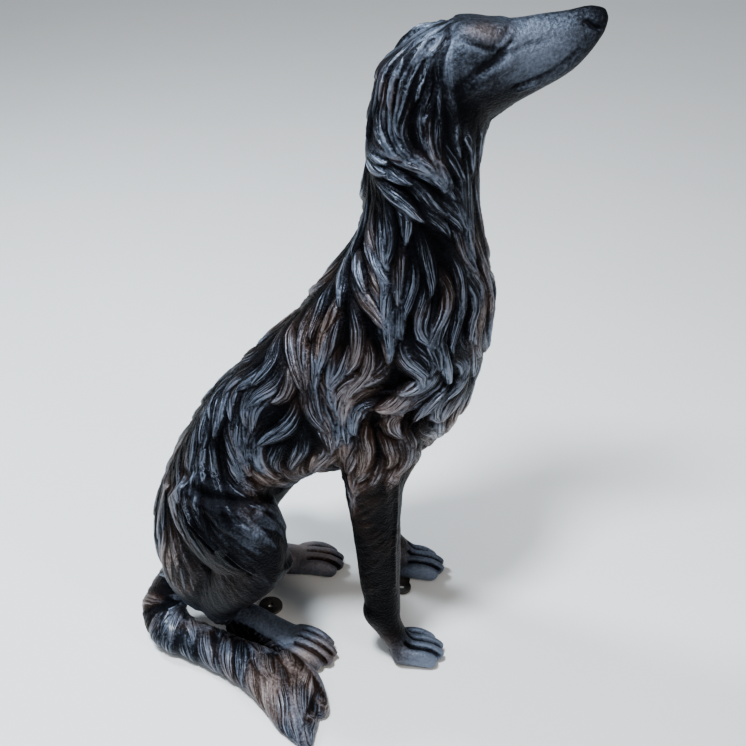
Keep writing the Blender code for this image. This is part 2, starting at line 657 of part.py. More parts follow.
def evenly(path, gap):
    """Points along the path that are no further apart than the gap."""
    travelled = np.concatenate([[0], np.cumsum(np.linalg.norm(np.diff(path, axis=0), axis=1))])
    marks = np.linspace(0, travelled[-1], math.ceil(travelled[-1] / gap) + 1)
    return np.stack([np.interp(marks, travelled, path[:, i]) for i in range(3)], axis=1)


def press_strokes(skin):
    """Models the strokes in relief into the skin."""
    spots, normals = points_of(skin)
    lift = np.zeros(len(spots))
    touched = in_cells(spots)
    for relief, half_width, path in stroke_paths(skin_tree(skin)):
        path = evenly(path, half_width / 4)
        low, high = path.min(axis=0) - half_width, path.max(axis=0) + half_width
        near = touched(low, high)
        near = near[((spots[near] > low) & (spots[near] < high)).all(axis=1)]
        gap = np.linalg.norm(spots[near, None] - path[None], axis=2).min(axis=1)
        lift[near] += relief * np.clip(1 - (gap / half_width) ** 2, 0, 1) ** 1.5
    skin.vertices.foreach_set("co", (spots + normals * lift[:, None]).ravel())
    skin.update()


def carve_coat(skin, locks):
    """Raises the locks out of the skin and sinks the gaps between them."""
    spots, normals = points_of(skin)
    _, sizes = coat_at(spots, normals)
    depth = sizes[:, 2] * (lay_locks(spots, normals, locks) - 0.55)
    skin.vertices.foreach_set("co", (spots + normals * depth[:, None]).ravel())
    skin.update()


# Ground, lugs and bolt holes

def prism(name, outline, low, high):
    """A closed prism over an anticlockwise outline."""
    clay = bmesh.new()
    base = clay.faces.new([clay.verts.new((x, y, low)) for x, y in outline])
    raised = bmesh.ops.extrude_face_region(clay, geom=[base])["geom"]
    corners = [item for item in raised if isinstance(item, bmesh.types.BMVert)]
    bmesh.ops.translate(clay, vec=(0, 0, high - low), verts=corners)
    bmesh.ops.recalc_face_normals(clay, faces=clay.faces)
    mesh = bpy.data.meshes.new(name)
    clay.to_mesh(mesh)
    clay.free()
    return bpy.data.objects.new(name, mesh)


def round_outline(centre, radius, start=0.0, sweep=2 * math.pi, sides=40):
    """Points along an arc in the ground's plane. A full turn leaves out its last point."""
    last = sides - 1 if sweep < 2 * math.pi else sides
    turns = [start + sweep * i / last for i in range(sides)]
    return [(centre[0] + radius * math.cos(turn), centre[1] + radius * math.sin(turn)) for turn in turns]


def lug(name, hole, foot, radius, neck):
    """A flat plate: a disc round its bolt hole, and a neck that runs back into the foot."""
    towards = math.atan2(foot[1] - hole[1], foot[0] - hole[0])
    opening = math.asin(neck / radius)
    aside = (-math.sin(towards) * neck, math.cos(towards) * neck)
    outline = round_outline(hole, radius, towards + opening, 2 * (math.pi - opening))
    outline += [(foot[0] - aside[0], foot[1] - aside[1]), (foot[0] + aside[0], foot[1] + aside[1])]
    return prism(name, outline, -SINK, LUG_THICKNESS)


def add_boolean(figure, other, operation):
    step = figure.modifiers.new(other.name, "BOOLEAN")
    step.operation = operation
    step.solver = "EXACT"
    step.object = other


def cast_material():
    metal = bpy.data.materials.new("bronzed_aluminium")
    metal.use_nodes = True
    shader = metal.node_tree.nodes["Principled BSDF"]
    shader.inputs["Base Color"].default_value = CAST_COLOUR
    shader.inputs["Metallic"].default_value = CAST_METALLIC
    shader.inputs["Roughness"].default_value = CAST_ROUGHNESS
    return metal


def new_collection(name):
    collection = bpy.data.collections.new(name)
    bpy.context.scene.collection.children.link(collection)
    return collection


def centre_on_ground(figure, others):
    """Moves everything so that the origin lies under the middle of the figure's box."""
    graph = bpy.context.evaluated_depsgraph_get()
    made = figure.evaluated_get(graph)
    corners = np.array([tuple(corner) for corner in made.bound_box])
    low, high = corners.min(axis=0), corners.max(axis=0)
    shift = Vector(((low[0] + high[0]) / -2, (low[1] + high[1]) / -2, -low[2]))
    for item in [figure, *others]:
        item.location = shift


clear_scene()
chance = np.random.default_rng(COAT_SEED)
skin = baked(model_figure(), fuse)
locks = trace_locks(skin, chance)
press_strokes(skin)
carve_coat(skin, locks)
casting = baked(skin, recast)
casting.transform(Matrix.Scale(STATUE_HEIGHT, 4))

statue = new_collection("dog_statue")
cutters = new_collection("cutters")
cutters.hide_render = True

figure = bpy.data.objects.new("dog_statue_casting", casting)
figure.data.materials.append(cast_material())
statue.objects.link(figure)

hind_hole = (-0.174 * STATUE_HEIGHT, 0.004 * STATUE_HEIGHT)
hind_root = (-0.196 * STATUE_HEIGHT, -0.064 * STATUE_HEIGHT)
front_hole = (0.050 * STATUE_HEIGHT, 0.048 * STATUE_HEIGHT)
front_root = (0.058 * STATUE_HEIGHT, 0.092 * STATUE_HEIGHT)
reach = 2 * STATUE_HEIGHT
ground = [(-reach, -reach), (reach, -reach), (reach, reach), (-reach, reach)]
helpers = (
    (lug("hind_lug", hind_hole, hind_root, HIND_LUG_RADIUS, 0.6 * HIND_LUG_RADIUS), "UNION"),
    (lug("front_lug", front_hole, front_root, FRONT_LUG_RADIUS, 0.7 * FRONT_LUG_RADIUS), "UNION"),
    (prism("ground", ground, -reach, 0), "DIFFERENCE"),
    (prism("hind_bolt", round_outline(hind_hole, BOLT_HOLE_RADIUS), -0.02, 0.03), "DIFFERENCE"),
    (prism("front_bolt", round_outline(front_hole, BOLT_HOLE_RADIUS), -0.02, 0.03), "DIFFERENCE"),
)
for helper, operation in helpers:
    cutters.objects.link(helper)
    helper.hide_render = True
    helper.display_type = "WIRE"
    add_boolean(figure, helper, operation)

centre_on_ground(figure, [helper for helper, _ in helpers])
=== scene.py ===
"""The finish of the seated sighthound statue: its coat carved strand by strand, its face and paws, and the
dark bronze patina of the cast aluminium, with painted highlights on its high strands and painted shade in its
gaps.

The figure is laid out from the same forms as the cast solid, in shares of its height, skinned finely, carved,
and then set in the solid's box, which it replaces.
"""

import itertools
import math

import bmesh
import bpy
import numpy as np
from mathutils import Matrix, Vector
from mathutils.bvhtree import BVHTree


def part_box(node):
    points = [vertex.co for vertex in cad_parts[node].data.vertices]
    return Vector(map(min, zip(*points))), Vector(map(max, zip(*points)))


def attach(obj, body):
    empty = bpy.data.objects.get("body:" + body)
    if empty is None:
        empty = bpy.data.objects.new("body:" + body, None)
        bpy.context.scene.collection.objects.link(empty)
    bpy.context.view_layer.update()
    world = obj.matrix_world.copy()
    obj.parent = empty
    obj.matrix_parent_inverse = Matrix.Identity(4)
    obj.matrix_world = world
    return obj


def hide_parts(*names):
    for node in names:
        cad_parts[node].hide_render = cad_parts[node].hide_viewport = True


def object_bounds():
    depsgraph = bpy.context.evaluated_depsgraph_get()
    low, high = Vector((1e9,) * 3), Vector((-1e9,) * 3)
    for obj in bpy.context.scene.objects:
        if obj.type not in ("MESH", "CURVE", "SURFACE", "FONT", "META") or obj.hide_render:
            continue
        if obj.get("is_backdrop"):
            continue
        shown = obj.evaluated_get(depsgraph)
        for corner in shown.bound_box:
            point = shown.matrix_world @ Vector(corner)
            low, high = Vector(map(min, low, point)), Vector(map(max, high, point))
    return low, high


NODE = "dog_statue_casting"

# Photo camera, before the figure is set on its solid
CAMERA_HEIGHT = 1.32
CAMERA_BACK = 1.235
CAMERA_PITCH = 34.1          # degrees below level
CAMERA_LENS = 50.04          # mm on a 36 mm sensor

# The statue's height, its lugs and their bolt holes, in metres
STATUE_HEIGHT = 1.0
LUG_THICKNESS = 0.005
HIND_LUG_RADIUS = 0.020
FRONT_LUG_RADIUS = 0.016
BOLT_HOLE_RADIUS = 0.0045
LUG_BEVEL = 0.0010
RIM_SIDES, BORE_SIDES = 48, 32

# Each lug's name, its hole and its root in the foot in shares of the height, its radius, and its neck's half
# width in shares of the radius
LUGS = (
    ("hind_lug_finished", (-0.174, 0.004), (-0.196, -0.064), HIND_LUG_RADIUS, 0.6),
    ("front_lug_finished", (0.050, 0.048), (0.058, 0.092), FRONT_LUG_RADIUS, 0.7),
)

# Fineness of the skins, in shares of the height, and the most triangles of the finished casting
SKIN_VOXEL = 0.004           # the skin that the locks are laid out on
FINE_VOXEL = 0.0017
FINISHED_TRIANGLES = 194000
RING_SIDES = 24
RING_STEPS = 5

# The coat
ROOT_GAP_ALONG = 0.38        # how near the roots of two locks come, in shares of their length
ROOT_GAP_ASIDE = 1.00        # and of their half width
BARE_RELIEF = 0.0012         # where the relief is less than this, no lock takes root
SWAY_LENGTH = 0.15           # from one swing of the coat to the next
LOCK_STRAY = 9               # degrees that a lock may leave the flow
LOCK_STEPS = 9
LOCK_STATIONS = (0.0, 0.15, 0.45, 0.75, 0.92, 1.0)
LOCK_WIDTHS = (0.40, 0.75, 1.0, 0.75, 0.36, 0.04)
LOCK_HEIGHTS = (0.25, 0.45, 0.80, 1.0, 0.95, 0.60)
LOCK_FLATNESS = 2.6          # over 2 for a flat lock with steep sides
LOCK_LEAN = 0.5              # how much one side of a lock may stand above its middle
TIP_RANK = 0.45              # how much a lock's tip is ahead of the locks that it meets
COAT_SEED = 11
FLOW_BLEND = 0.0006          # how far the places of the coat blend into each other, as a squared distance
PARTING = 0.6                # how much the coat on the back falls to either side
MEAN_LIFT = 0.55             # of a lock, which the skin keeps its height at
STRAND_WIDTH = 0.0072
STRAND_DEPTH = 0.0036
STRAND_RELIEF = 0.004        # where the coat's relief is this much, its strands are cut in full
STRAND_BEND = 0.2            # how far a strand bends across its lock, in shares of the half width
FINE_STRANDS = 1.7           # how many fine strands lie on a coarse one
COVER_LIFT = 0.25            # a lock this high hides the fine hair
HAIR_SHARES = (0.5, 0.30)    # of a lock's length and half width, for the fine hair between the locks
LEAST_HALF_WIDTH = 0.0028    # of a lock or a fine hair
HAIR_DEPTH = 0.0022
HAIR_RELIEF = 0.002          # how dark the painted shade in the gaps of the fine hair is beside that between strands
HAIR_SHADE = 0.6             # of a crease painted as dark as the painted shade in the gaps of the coat
CREASE_DEPTH = 0.0080        # of a crease as dark as the gaps of the coat
BARE_LIFT = -0.20            # how light the hairless skin is painted outside the places painted lighter or darker below

RIGHT, LEFT = -1, 1
UP = np.array([0.0, 0.0, 1.0])


# Meshes and objects

def mesh_of(clay, name):
    """The clay as a mesh. The clay is used up."""
    mesh = bpy.data.meshes.new(name)
    clay.to_mesh(mesh)
    clay.free()
    return mesh


def add_object(name, data):
    item = bpy.data.objects.new(name, data)
    bpy.context.scene.collection.objects.link(item)
    return item


def points_of(mesh):
    spots = np.empty(len(mesh.vertices) * 3)
    mesh.vertices.foreach_get("co", spots)
    normals = np.empty(len(mesh.vertices) * 3)
    mesh.vertex_normals.foreach_get("vector", normals)
    return spots.reshape(-1, 3), normals.reshape(-1, 3)


def move_points(mesh, spots):
    mesh.vertices.foreach_set("co", spots.ravel())
    mesh.update()


# Lofts

def catmull_rom(before, start, end, after, share):
    """A point between start and end on the smooth curve through all four."""
    return 0.5 * (
        2 * start
        + (end - before) * share
        + (2 * before - 5 * start + 4 * end - after) * share ** 2
        + (3 * start - before - 3 * end + after) * share ** 3
    )


def smooth_stations(stations, steps=RING_STEPS):
    """The stations, with more on the smooth curve between each two."""
    stations = np.array(stations, float)
    padded = np.vstack([stations[0], stations, stations[-1]])
    rows = [
        catmull_rom(*padded[i:i + 4], step / steps)
        for i in range(len(stations) - 1)
        for step in range(steps)
    ]
    return np.array(rows + [stations[-1]])


def unit(vector):
    return vector / np.linalg.norm(vector)


def add_loft(clay, rings):
    """Skins rings of (centre, half axis u, half axis v, keel) and closes both ends with a pole.
    A keel over 0 makes a ring broader towards its u side, and one under 0 towards the other."""
    angles = np.arange(RING_SIDES) * 2 * math.pi / RING_SIDES
    loops = []
    for centre, u, v, keel in rings:
        across = np.sin(angles) * (1 + keel * np.cos(angles))
        points = np.outer(np.cos(angles), u) + np.outer(across, v) + centre
        loops.append([clay.verts.new(point) for point in points])
    for lower, upper in zip(loops, loops[1:]):
        for i in range(RING_SIDES):
            j = (i + 1) % RING_SIDES
            clay.faces.new((lower[i], lower[j], upper[j], upper[i]))
    for loop, ring, beyond in ((loops[0], rings[0], rings[1]), (loops[-1], rings[-1], rings[-2])):
        bulge = 0.5 * min(np.linalg.norm(ring[1]), np.linalg.norm(ring[2]))
        pole = clay.verts.new(ring[0] + unit(ring[0] - beyond[0]) * bulge)
        for i in range(RING_SIDES):
            clay.faces.new((loop[i], loop[(i + 1) % RING_SIDES], pole))


def profile_loft(clay, stations):
    """A form on the middle plane. A station is (upper x, upper z, lower x, lower z, half width, keel)."""
    rings = []
    for ux, uz, lx, lz, half_width, keel in smooth_stations(stations):
        upper, lower = np.array([ux, 0, uz]), np.array([lx, 0, lz])
        rings.append(((upper + lower) / 2, (upper - lower) / 2, np.array([0, half_width, 0]), keel))
    add_loft(clay, rings)


def limb_loft(clay, stations, side=1, across=(0, 1, 0)):
    """A form along a path. A station is (x, y, z, half depth, half width). The width lies along `across`,
    squared to the path, or level when there is none. A side of -1 mirrors the path to the dog's right."""
    rows = smooth_stations(stations)
    rows[:, 1] *= side
    rings = []
    tangents = np.gradient(rows[:, :3], axis=0)
    for centre, tangent, depth, width in zip(rows[:, :3], tangents, rows[:, 3], rows[:, 4]):
        tangent = unit(tangent)
        wide = np.cross(UP, tangent) if across is None else np.array(across, float)
        wide = unit(wide - tangent * (wide @ tangent))
        rings.append((centre, np.cross(tangent, wide) * depth, wide * width, 0.0))
    add_loft(clay, rings)


# The figure, in shares of its height. A limb's stations are x, y, z, half depth and half width.

TRUNK = (
    # back x, z     front x, z     half width, keel
    (-0.325, 0.085, -0.255, 0.060, 0.040, 0.0),
    (-0.347, 0.165, -0.205, 0.115, 0.082, 0.1),
    (-0.342, 0.243, -0.170, 0.190, 0.094, 0.1),
    (-0.310, 0.326, -0.135, 0.265, 0.094, 0.1),
    (-0.256, 0.423, -0.085, 0.326, 0.095, 0.0),
    (-0.185, 0.508, -0.018, 0.346, 0.100, -0.1),
    (-0.112, 0.582, 0.052, 0.350, 0.108, -0.1),
    (-0.063, 0.643, 0.119, 0.411, 0.112, 0.0),
    (-0.032, 0.692, 0.151, 0.502, 0.104, 0.0),
    (-0.017, 0.740, 0.166, 0.600, 0.088, 0.1),
    (-0.013, 0.790, 0.155, 0.672, 0.074, 0.1),
    (-0.010, 0.845, 0.138, 0.750, 0.066, 0.0),
    (-0.004, 0.890, 0.136, 0.815, 0.060, 0.0),
    (0.008, 0.932, 0.145, 0.860, 0.055, 0.0),
    (0.040, 0.956, 0.150, 0.885, 0.045, 0.0),
)

HEAD = (
    # top x, z      jaw x, z       half width, keel
    (0.022, 0.938, 0.060, 0.880, 0.034, 0.0),
    (0.044, 0.961, 0.110, 0.862, 0.046, 0.1),
    (0.078, 0.979, 0.142, 0.862, 0.049, 0.2),
    (0.112, 0.986, 0.165, 0.876, 0.045, 0.2),
    (0.140, 0.984, 0.186, 0.889, 0.036, 0.2),
    (0.168, 0.985, 0.206, 0.901, 0.029, 0.1),
    (0.198, 0.990, 0.226, 0.913, 0.025, 0.0),
    (0.226, 0.994, 0.244, 0.927, 0.022, 0.0),
    (0.252, 1.000, 0.261, 0.948, 0.018, 0.0),
    (0.271, 0.997, 0.272, 0.967, 0.013, 0.0),
)

EAR = (
    # x, y, z, half depth, half thickness
    (0.086, 0.022, 0.966, 0.012, 0.008),
    (0.064, 0.035, 0.948, 0.024, 0.008),
    (0.045, 0.044, 0.922, 0.026, 0.008),
    (0.038, 0.051, 0.892, 0.020, 0.007),
    (0.038, 0.055, 0.862, 0.009, 0.004),
)

FORELEG = (
    (0.040, 0.060, 0.520, 0.076, 0.040),
    (0.016, 0.078, 0.430, 0.060, 0.042),
    (0.002, 0.086, 0.360, 0.046, 0.036),
    (0.004, 0.088, 0.299, 0.0385, 0.030),
    (0.008, 0.090, 0.227, 0.0345, 0.026),
    (0.011, 0.092, 0.160, 0.031, 0.023),
    (0.0145, 0.094, 0.120, 0.0285, 0.022),
    (0.014, 0.096, 0.096, 0.030, 0.023),
    (0.024, 0.099, 0.070, 0.0225, 0.021),
    (0.037, 0.102, 0.045, 0.020, 0.022),
    (0.050, 0.104, 0.026, 0.020, 0.025),
)

THIGH = (
    (-0.262, 0.048, 0.325, 0.055, 0.045),
    (-0.228, 0.078, 0.292, 0.076, 0.052),
    (-0.188, 0.102, 0.262, 0.078, 0.050),
    (-0.154, 0.112, 0.240, 0.052, 0.036),
)

SHIN = (
    (-0.158, 0.112, 0.245, 0.049, 0.034),
    (-0.193, 0.105, 0.190, 0.049, 0.040),
    (-0.230, 0.086, 0.135, 0.042, 0.038),
    (-0.243, 0.062, 0.085, 0.034, 0.032),
    (-0.246, 0.046, 0.045, 0.026, 0.025),
)

# This fills the hollow between thigh and shin in the finished skin
KNEE = (
    (-0.178, 0.108, 0.292, 0.044, 0.040),
    (-0.167, 0.112, 0.250, 0.043, 0.038),
    (-0.173, 0.110, 0.212, 0.045, 0.037),
)

BUTTOCK = (
    (-0.258, 0.048, 0.300, 0.055, 0.040),
    (-0.270, 0.060, 0.230, 0.058, 0.046),
    (-0.270, 0.062, 0.160, 0.056, 0.046),
    (-0.266, 0.050, 0.110, 0.049, 0.040),
    (-0.272, 0.038, 0.075, 0.041, 0.032),
)

HIND_FOOT = (
    # reach from the heel, height, half height, half width
    (0.000, 0.034, 0.034, 0.024),
    (0.032, 0.031, 0.034, 0.028),
    (0.072, 0.024, 0.027, 0.029),
    (0.120, 0.018, 0.022, 0.028),
)

TAIL = (
    (-0.285, 0.000, 0.125, 0.032, 0.030),
    (-0.312, -0.015, 0.090, 0.036, 0.036),
    (-0.343, -0.040, 0.052, 0.034, 0.036),
    (-0.327, -0.070, 0.030, 0.031, 0.036),
    (-0.284, -0.091, 0.024, 0.028, 0.033),
    (-0.235, -0.117, 0.023, 0.028, 0.033),
    (-0.188, -0.144, 0.023, 0.029, 0.038),
    (-0.151, -0.171, 0.022, 0.029, 0.043),
    (-0.126, -0.205, 0.018, 0.026, 0.042),
    (-0.111, -0.243, 0.012, 0.019, 0.030),
    (-0.097, -0.277, 0.004, 0.008, 0.008),
)

TAIL_LOBE = (
    (-0.150, -0.140, 0.026, 0.024, 0.030),
    (-0.108, -0.170, 0.022, 0.024, 0.026),
    (-0.086, -0.202, 0.014, 0.018, 0.018),
    (-0.076, -0.224, 0.008, 0.010, 0.009),
)

PAW = (
    # share of the paw's length, height, half height, share of its half width
    (0.00, 0.017, 0.021, 0.78),
    (0.25, 0.020, 0.023, 0.92),
    (0.55, 0.017, 0.021, 1.00),
    (0.75, 0.011, 0.015, 0.92),
)

TOE = (
    # distance behind the toe's tip, height, radius
    (0.064, 0.025, 0.0105),
    (0.046, 0.027, 0.0125),
    (0.028, 0.024, 0.0135),
    (0.013, 0.015, 0.0130),
    (0.006, 0.009, 0.0110),
)

# Each toe's sideways share of the paw's half width, and how far it stays behind the longest
TOES = ((-0.78, 0.012), (-0.27, 0.0), (0.27, 0.0), (0.78, 0.012))


# The coat by place. Headings are in degrees in the side view, from forward towards up. Lengths are shares of
# the height. The curl is how far a lock swings to either side of its heading, in degrees.
COAT = (
    # x, z       heading, length, half width, relief, curl
    (0.180, 0.940, -60, 0.05, 0.010, 0.000, 0),
    (0.110, 0.970, -60, 0.05, 0.010, 0.000, 0),
    (0.115, 0.900, -60, 0.05, 0.008, 0.000, 0),
    (0.095, 0.935, -60, 0.05, 0.008, 0.000, 0),
    (0.070, 0.966, 205, 0.07, 0.005, 0.0025, 5),
    (0.040, 0.950, 222, 0.08, 0.006, 0.0035, 8),
    (0.055, 0.925, -110, 0.08, 0.007, 0.0035, 10),
    (0.030, 0.900, -95, 0.08, 0.009, 0.005, 16),
    (0.050, 0.865, -80, 0.07, 0.010, 0.005, 22),
    (0.000, 0.880, -70, 0.075, 0.012, 0.007, 30),
    (0.010, 0.820, -38, 0.080, 0.014, 0.009, 38),
    (0.060, 0.820, -50, 0.085, 0.013, 0.008, 30),
    (0.110, 0.830, -68, 0.12, 0.009, 0.005, 8),
    (0.130, 0.740, -78, 0.13, 0.010, 0.005, 8),
    (0.060, 0.750, -55, 0.10, 0.014, 0.009, 30),
    (0.000, 0.760, -60, 0.09, 0.014, 0.010, 34),
    (0.020, 0.680, -75, 0.11, 0.018, 0.010, 34),
    (0.120, 0.640, -85, 0.11, 0.018, 0.009, 34),
    (-0.040, 0.610, -100, 0.10, 0.015, 0.010, 32),
    (0.060, 0.600, -95, 0.11, 0.022, 0.015, 60),
    (0.100, 0.530, -115, 0.10, 0.022, 0.015, 60),
    (0.030, 0.510, -115, 0.11, 0.023, 0.015, 60),
    (0.060, 0.430, -80, 0.08, 0.019, 0.010, 45),
    (-0.040, 0.470, -105, 0.11, 0.020, 0.013, 42),
    (-0.120, 0.520, -112, 0.10, 0.018, 0.009, 34),
    (-0.110, 0.420, -100, 0.10, 0.018, 0.010, 38),
    (-0.060, 0.360, -45, 0.09, 0.013, 0.008, 28),
    (-0.200, 0.430, -112, 0.10, 0.016, 0.008, 32),
    (-0.280, 0.350, -105, 0.10, 0.013, 0.007, 22),
    (-0.200, 0.380, -95, 0.09, 0.013, 0.008, 24),
    (-0.140, 0.362, -75, 0.07, 0.012, 0.007, 26),
    (-0.265, 0.345, -75, 0.07, 0.009, 0.003, 15),
    (-0.230, 0.342, -60, 0.06, 0.006, 0.001, 10),
    (-0.195, 0.342, -40, 0.06, 0.006, 0.001, 10),
    (-0.155, 0.335, -40, 0.06, 0.006, 0.001, 10),
    (-0.335, 0.220, -88, 0.10, 0.012, 0.006, 18),
    (-0.300, 0.290, -70, 0.10, 0.010, 0.005, 14),
    (-0.300, 0.180, -80, 0.08, 0.010, 0.003, 15),
    (-0.250, 0.290, -55, 0.06, 0.005, 0.0016, 8),
    (-0.205, 0.300, -40, 0.06, 0.005, 0.001, 5),
    (-0.165, 0.300, -25, 0.06, 0.005, 0.000, 5),
    (-0.140, 0.250, -80, 0.06, 0.005, 0.001, 5),
    (-0.190, 0.240, -50, 0.06, 0.005, 0.0014, 10),
    (-0.250, 0.210, -65, 0.06, 0.005, 0.0014, 12),
    (-0.200, 0.160, -60, 0.06, 0.005, 0.0016, 12),
    (-0.280, 0.110, -75, 0.06, 0.006, 0.0014, 12),
    (-0.220, 0.090, -50, 0.05, 0.005, 0.0014, 8),
    (-0.020, 0.410, -120, 0.06, 0.009, 0.005, 15),
    (0.000, 0.350, -150, 0.04, 0.005, 0.0014, 5),
    (-0.020, 0.270, -150, 0.04, 0.005, 0.0018, 5),
    (0.005, 0.240, -150, 0.04, 0.005, 0.0014, 5),
    (-0.010, 0.170, -150, 0.04, 0.005, 0.0016, 5),
    (0.045, 0.330, -95, 0.05, 0.008, 0.000, 0),
    (0.040, 0.200, -95, 0.05, 0.008, 0.000, 0),
    (0.010, 0.120, -95, 0.04, 0.008, 0.000, 0),
    (0.040, 0.080, -95, 0.04, 0.008, 0.000, 0),
    (0.070, 0.020, -30, 0.04, 0.008, 0.000, 0),
    (-0.180, 0.040, -10, 0.04, 0.009, 0.000, 0),
    (-0.080, 0.020, -10, 0.04, 0.009, 0.000, 0),
)
TAIL_COAT = (0.110, 0.018, 0.0034, 10)   # length, half width, relief, curl
TAIL_SWIRL = (68, 50, 8)                 # degrees that its locks wrap round it, at its root, middle and tip
TAIL_REACH = 0.052                       # how near its middle line the tail's own coat holds


# Strokes modelled on both sides of the dog: relief, half width, and (x, z) points
STROKES = (
    # brow and eye
    (0.0040, 0.016, ((0.102, 0.979), (0.120, 0.977), (0.138, 0.975), (0.150, 0.977))),
    (-0.0026, 0.005, ((0.106, 0.970), (0.123, 0.964), (0.138, 0.961), (0.149, 0.966), (0.157, 0.976))),
    (-0.0018, 0.018, ((0.100, 0.950), (0.122, 0.946), (0.142, 0.948))),
    (-0.0022, 0.004, ((0.146, 0.956), (0.154, 0.961), (0.162, 0.966))),
    (0.0018, 0.004, ((0.143, 0.962), (0.150, 0.965), (0.157, 0.970))),
    # muzzle
    (-0.0016, 0.005, ((0.162, 0.955), (0.176, 0.960), (0.196, 0.964))),
    (-0.0016, 0.008, ((0.098, 0.918), (0.116, 0.932), (0.135, 0.944), (0.154, 0.955))),
    (0.0030, 0.010, ((0.105, 0.907), (0.124, 0.920), (0.142, 0.932), (0.161, 0.945))),
    (-0.0020, 0.005, ((0.166, 0.912), (0.184, 0.917), (0.203, 0.925), (0.222, 0.937), (0.240, 0.953))),
    (0.0045, 0.006, ((0.173, 0.908), (0.184, 0.911), (0.196, 0.916))),
    (-0.0045, 0.004, ((0.247, 0.986), (0.253, 0.980), (0.261, 0.977))),
    (-0.0022, 0.003, ((0.245, 0.994), (0.243, 0.984), (0.247, 0.974))),
    # front edge of the ear
    (-0.0036, 0.006, ((0.092, 0.979), (0.082, 0.964), (0.077, 0.945), (0.074, 0.920), (0.062, 0.888))),
    (0.0020, 0.005, ((0.084, 0.976), (0.072, 0.962), (0.068, 0.943), (0.066, 0.918), (0.052, 0.884))),
    # fold over the thigh, its crown and its cuts
    (-0.0042, 0.011, ((-0.275, 0.349), (-0.240, 0.343), (-0.197, 0.341), (-0.159, 0.337), (-0.138, 0.322))),
    (0.0030, 0.009, ((-0.262, 0.330), (-0.230, 0.326), (-0.192, 0.325), (-0.160, 0.319))),
    (0.0050, 0.016, ((-0.205, 0.312), (-0.170, 0.304), (-0.146, 0.282), (-0.138, 0.250), (-0.146, 0.210))),
    (-0.0045, 0.004, ((-0.268, 0.298), (-0.251, 0.283), (-0.231, 0.268))),
    (0.0040, 0.004, ((-0.264, 0.304), (-0.247, 0.289), (-0.226, 0.273))),
    (-0.0040, 0.004, ((-0.212, 0.262), (-0.194, 0.243), (-0.178, 0.228))),
    (0.0035, 0.004, ((-0.208, 0.268), (-0.190, 0.249), (-0.173, 0.233))),
    # front edge of the foreleg
    (0.0030, 0.005, ((0.034, 0.385), (0.034, 0.308), (0.032, 0.225), (0.033, 0.165))),
)
TOE_GROOVE = (-0.0050, 0.0042)    # relief and half width of the grooves between toes
RAY_REACH = 0.3                   # of the rays that find a stroke on the skin, from beside the middle plane
ABOVE_PAWS = 0.075                # where the rays start that find the toes

# Where the patina is made lighter or darker than elsewhere, and browner or bluer. On the head, the crown
# hair, the nose, the crown of the thigh, the knee, the forepaws and the tops of the hind feet this is painted
# highlight, with the blue a painted sky reflection, and on the lower chest painted shade.
PAINTED_LIGHT_AND_TONE = (
    # x, z, reach along x, along z, how much, and whether to brown (over 0) or blue
    (0.125, 0.980, 0.045, 0.020, 0.05, 1.6),     # brow
    (0.195, 0.965, 0.140, 0.090, 0.90, -1.0),    # head
    (0.120, 0.922, 0.035, 0.028, 0.05, 0.0),     # cheek
    (0.265, 0.985, 0.030, 0.030, 0.30, -0.5),    # nose
    (0.060, 0.965, 0.040, 0.030, 1.00, -1.5),    # hair on the crown
    (0.100, 0.480, 0.080, 0.100, -0.55, -0.7),   # lower chest
    (-0.165, 0.300, 0.060, 0.040, 0.50, -1.0),   # crown of the thigh
    (-0.140, 0.240, 0.040, 0.050, 0.35, 0.0),    # knee
    (0.095, 0.015, 0.052, 0.045, 1.10, -1.5),    # forepaws
    (0.015, 0.250, 0.060, 0.150, -0.15, 1.3),    # forelegs
    (-0.150, 0.035, 0.170, 0.050, 1.20, 0.9),    # hind feet and tail
    (-0.325, 0.060, 0.060, 0.070, 0.60, 0.0),    # bend of the tail
)

# The paws: heel (x, y), heading in degrees
FORE_PAWS = ((0.034, -0.102, 0), (0.045, 0.089, 0))
HIND_FEET = ((-0.232, -0.046, -23), (-0.237, 0.098, 0))
HIND_PAW_REACH = 0.106       # from a hind foot's heel to its paw
PAW_LENGTH = 0.080
PAW_HALF_WIDTH = 0.032


def ground_frame(spot, heading):
    """A function that places (reach, aside, height) from a spot on the ground along a heading in degrees."""
    forward = np.array([math.cos(math.radians(heading)), math.sin(math.radians(heading)), 0])
    sideways = np.cross(UP, forward)
    start = np.array([*spot, 0.0])
    return lambda reach, aside, height: start + forward * reach + sideways * aside + UP * height


def paw(clay, heel, heading):
    """A paw on the ground from its heel along its heading, with four toes."""
    place = ground_frame(heel, heading)
    pad = [
        (*place(share * PAW_LENGTH, 0, height), half_height, wide * PAW_HALF_WIDTH)
        for share, height, half_height, wide in PAW
    ]
    limb_loft(clay, pad, across=None)
    for aside, behind in TOES:
        toe = [
            (*place(PAW_LENGTH - behind - back, aside * PAW_HALF_WIDTH * 0.95, height), radius, radius * 0.68)
            for back, height, radius in TOE
        ]
        limb_loft(clay, toe, across=None)


def foreleg(clay, side, lean, step):
    """A foreleg from its shoulder to its paw. The lean shifts the leg, and the step shifts the foot."""
    rows = [
        (x + float(np.interp(z, (0.03, 0.12, 0.36, 0.52), (step, lean, lean, 0))), y, z, depth, width)
        for x, y, z, depth, width in FORELEG
    ]
    limb_loft(clay, rows, side)


def hind_foot(clay, heel, heading):
    """The long foot of a folded hind leg, flat on the ground from its heel."""
    place = ground_frame(heel, heading)
    rows = [
        (*place(reach, 0, height), half_height, half_width)
        for reach, height, half_height, half_width in HIND_FOOT
    ]
    limb_loft(clay, rows, across=None)
    paw(clay, place(HIND_PAW_REACH, 0, 0)[:2], heading)


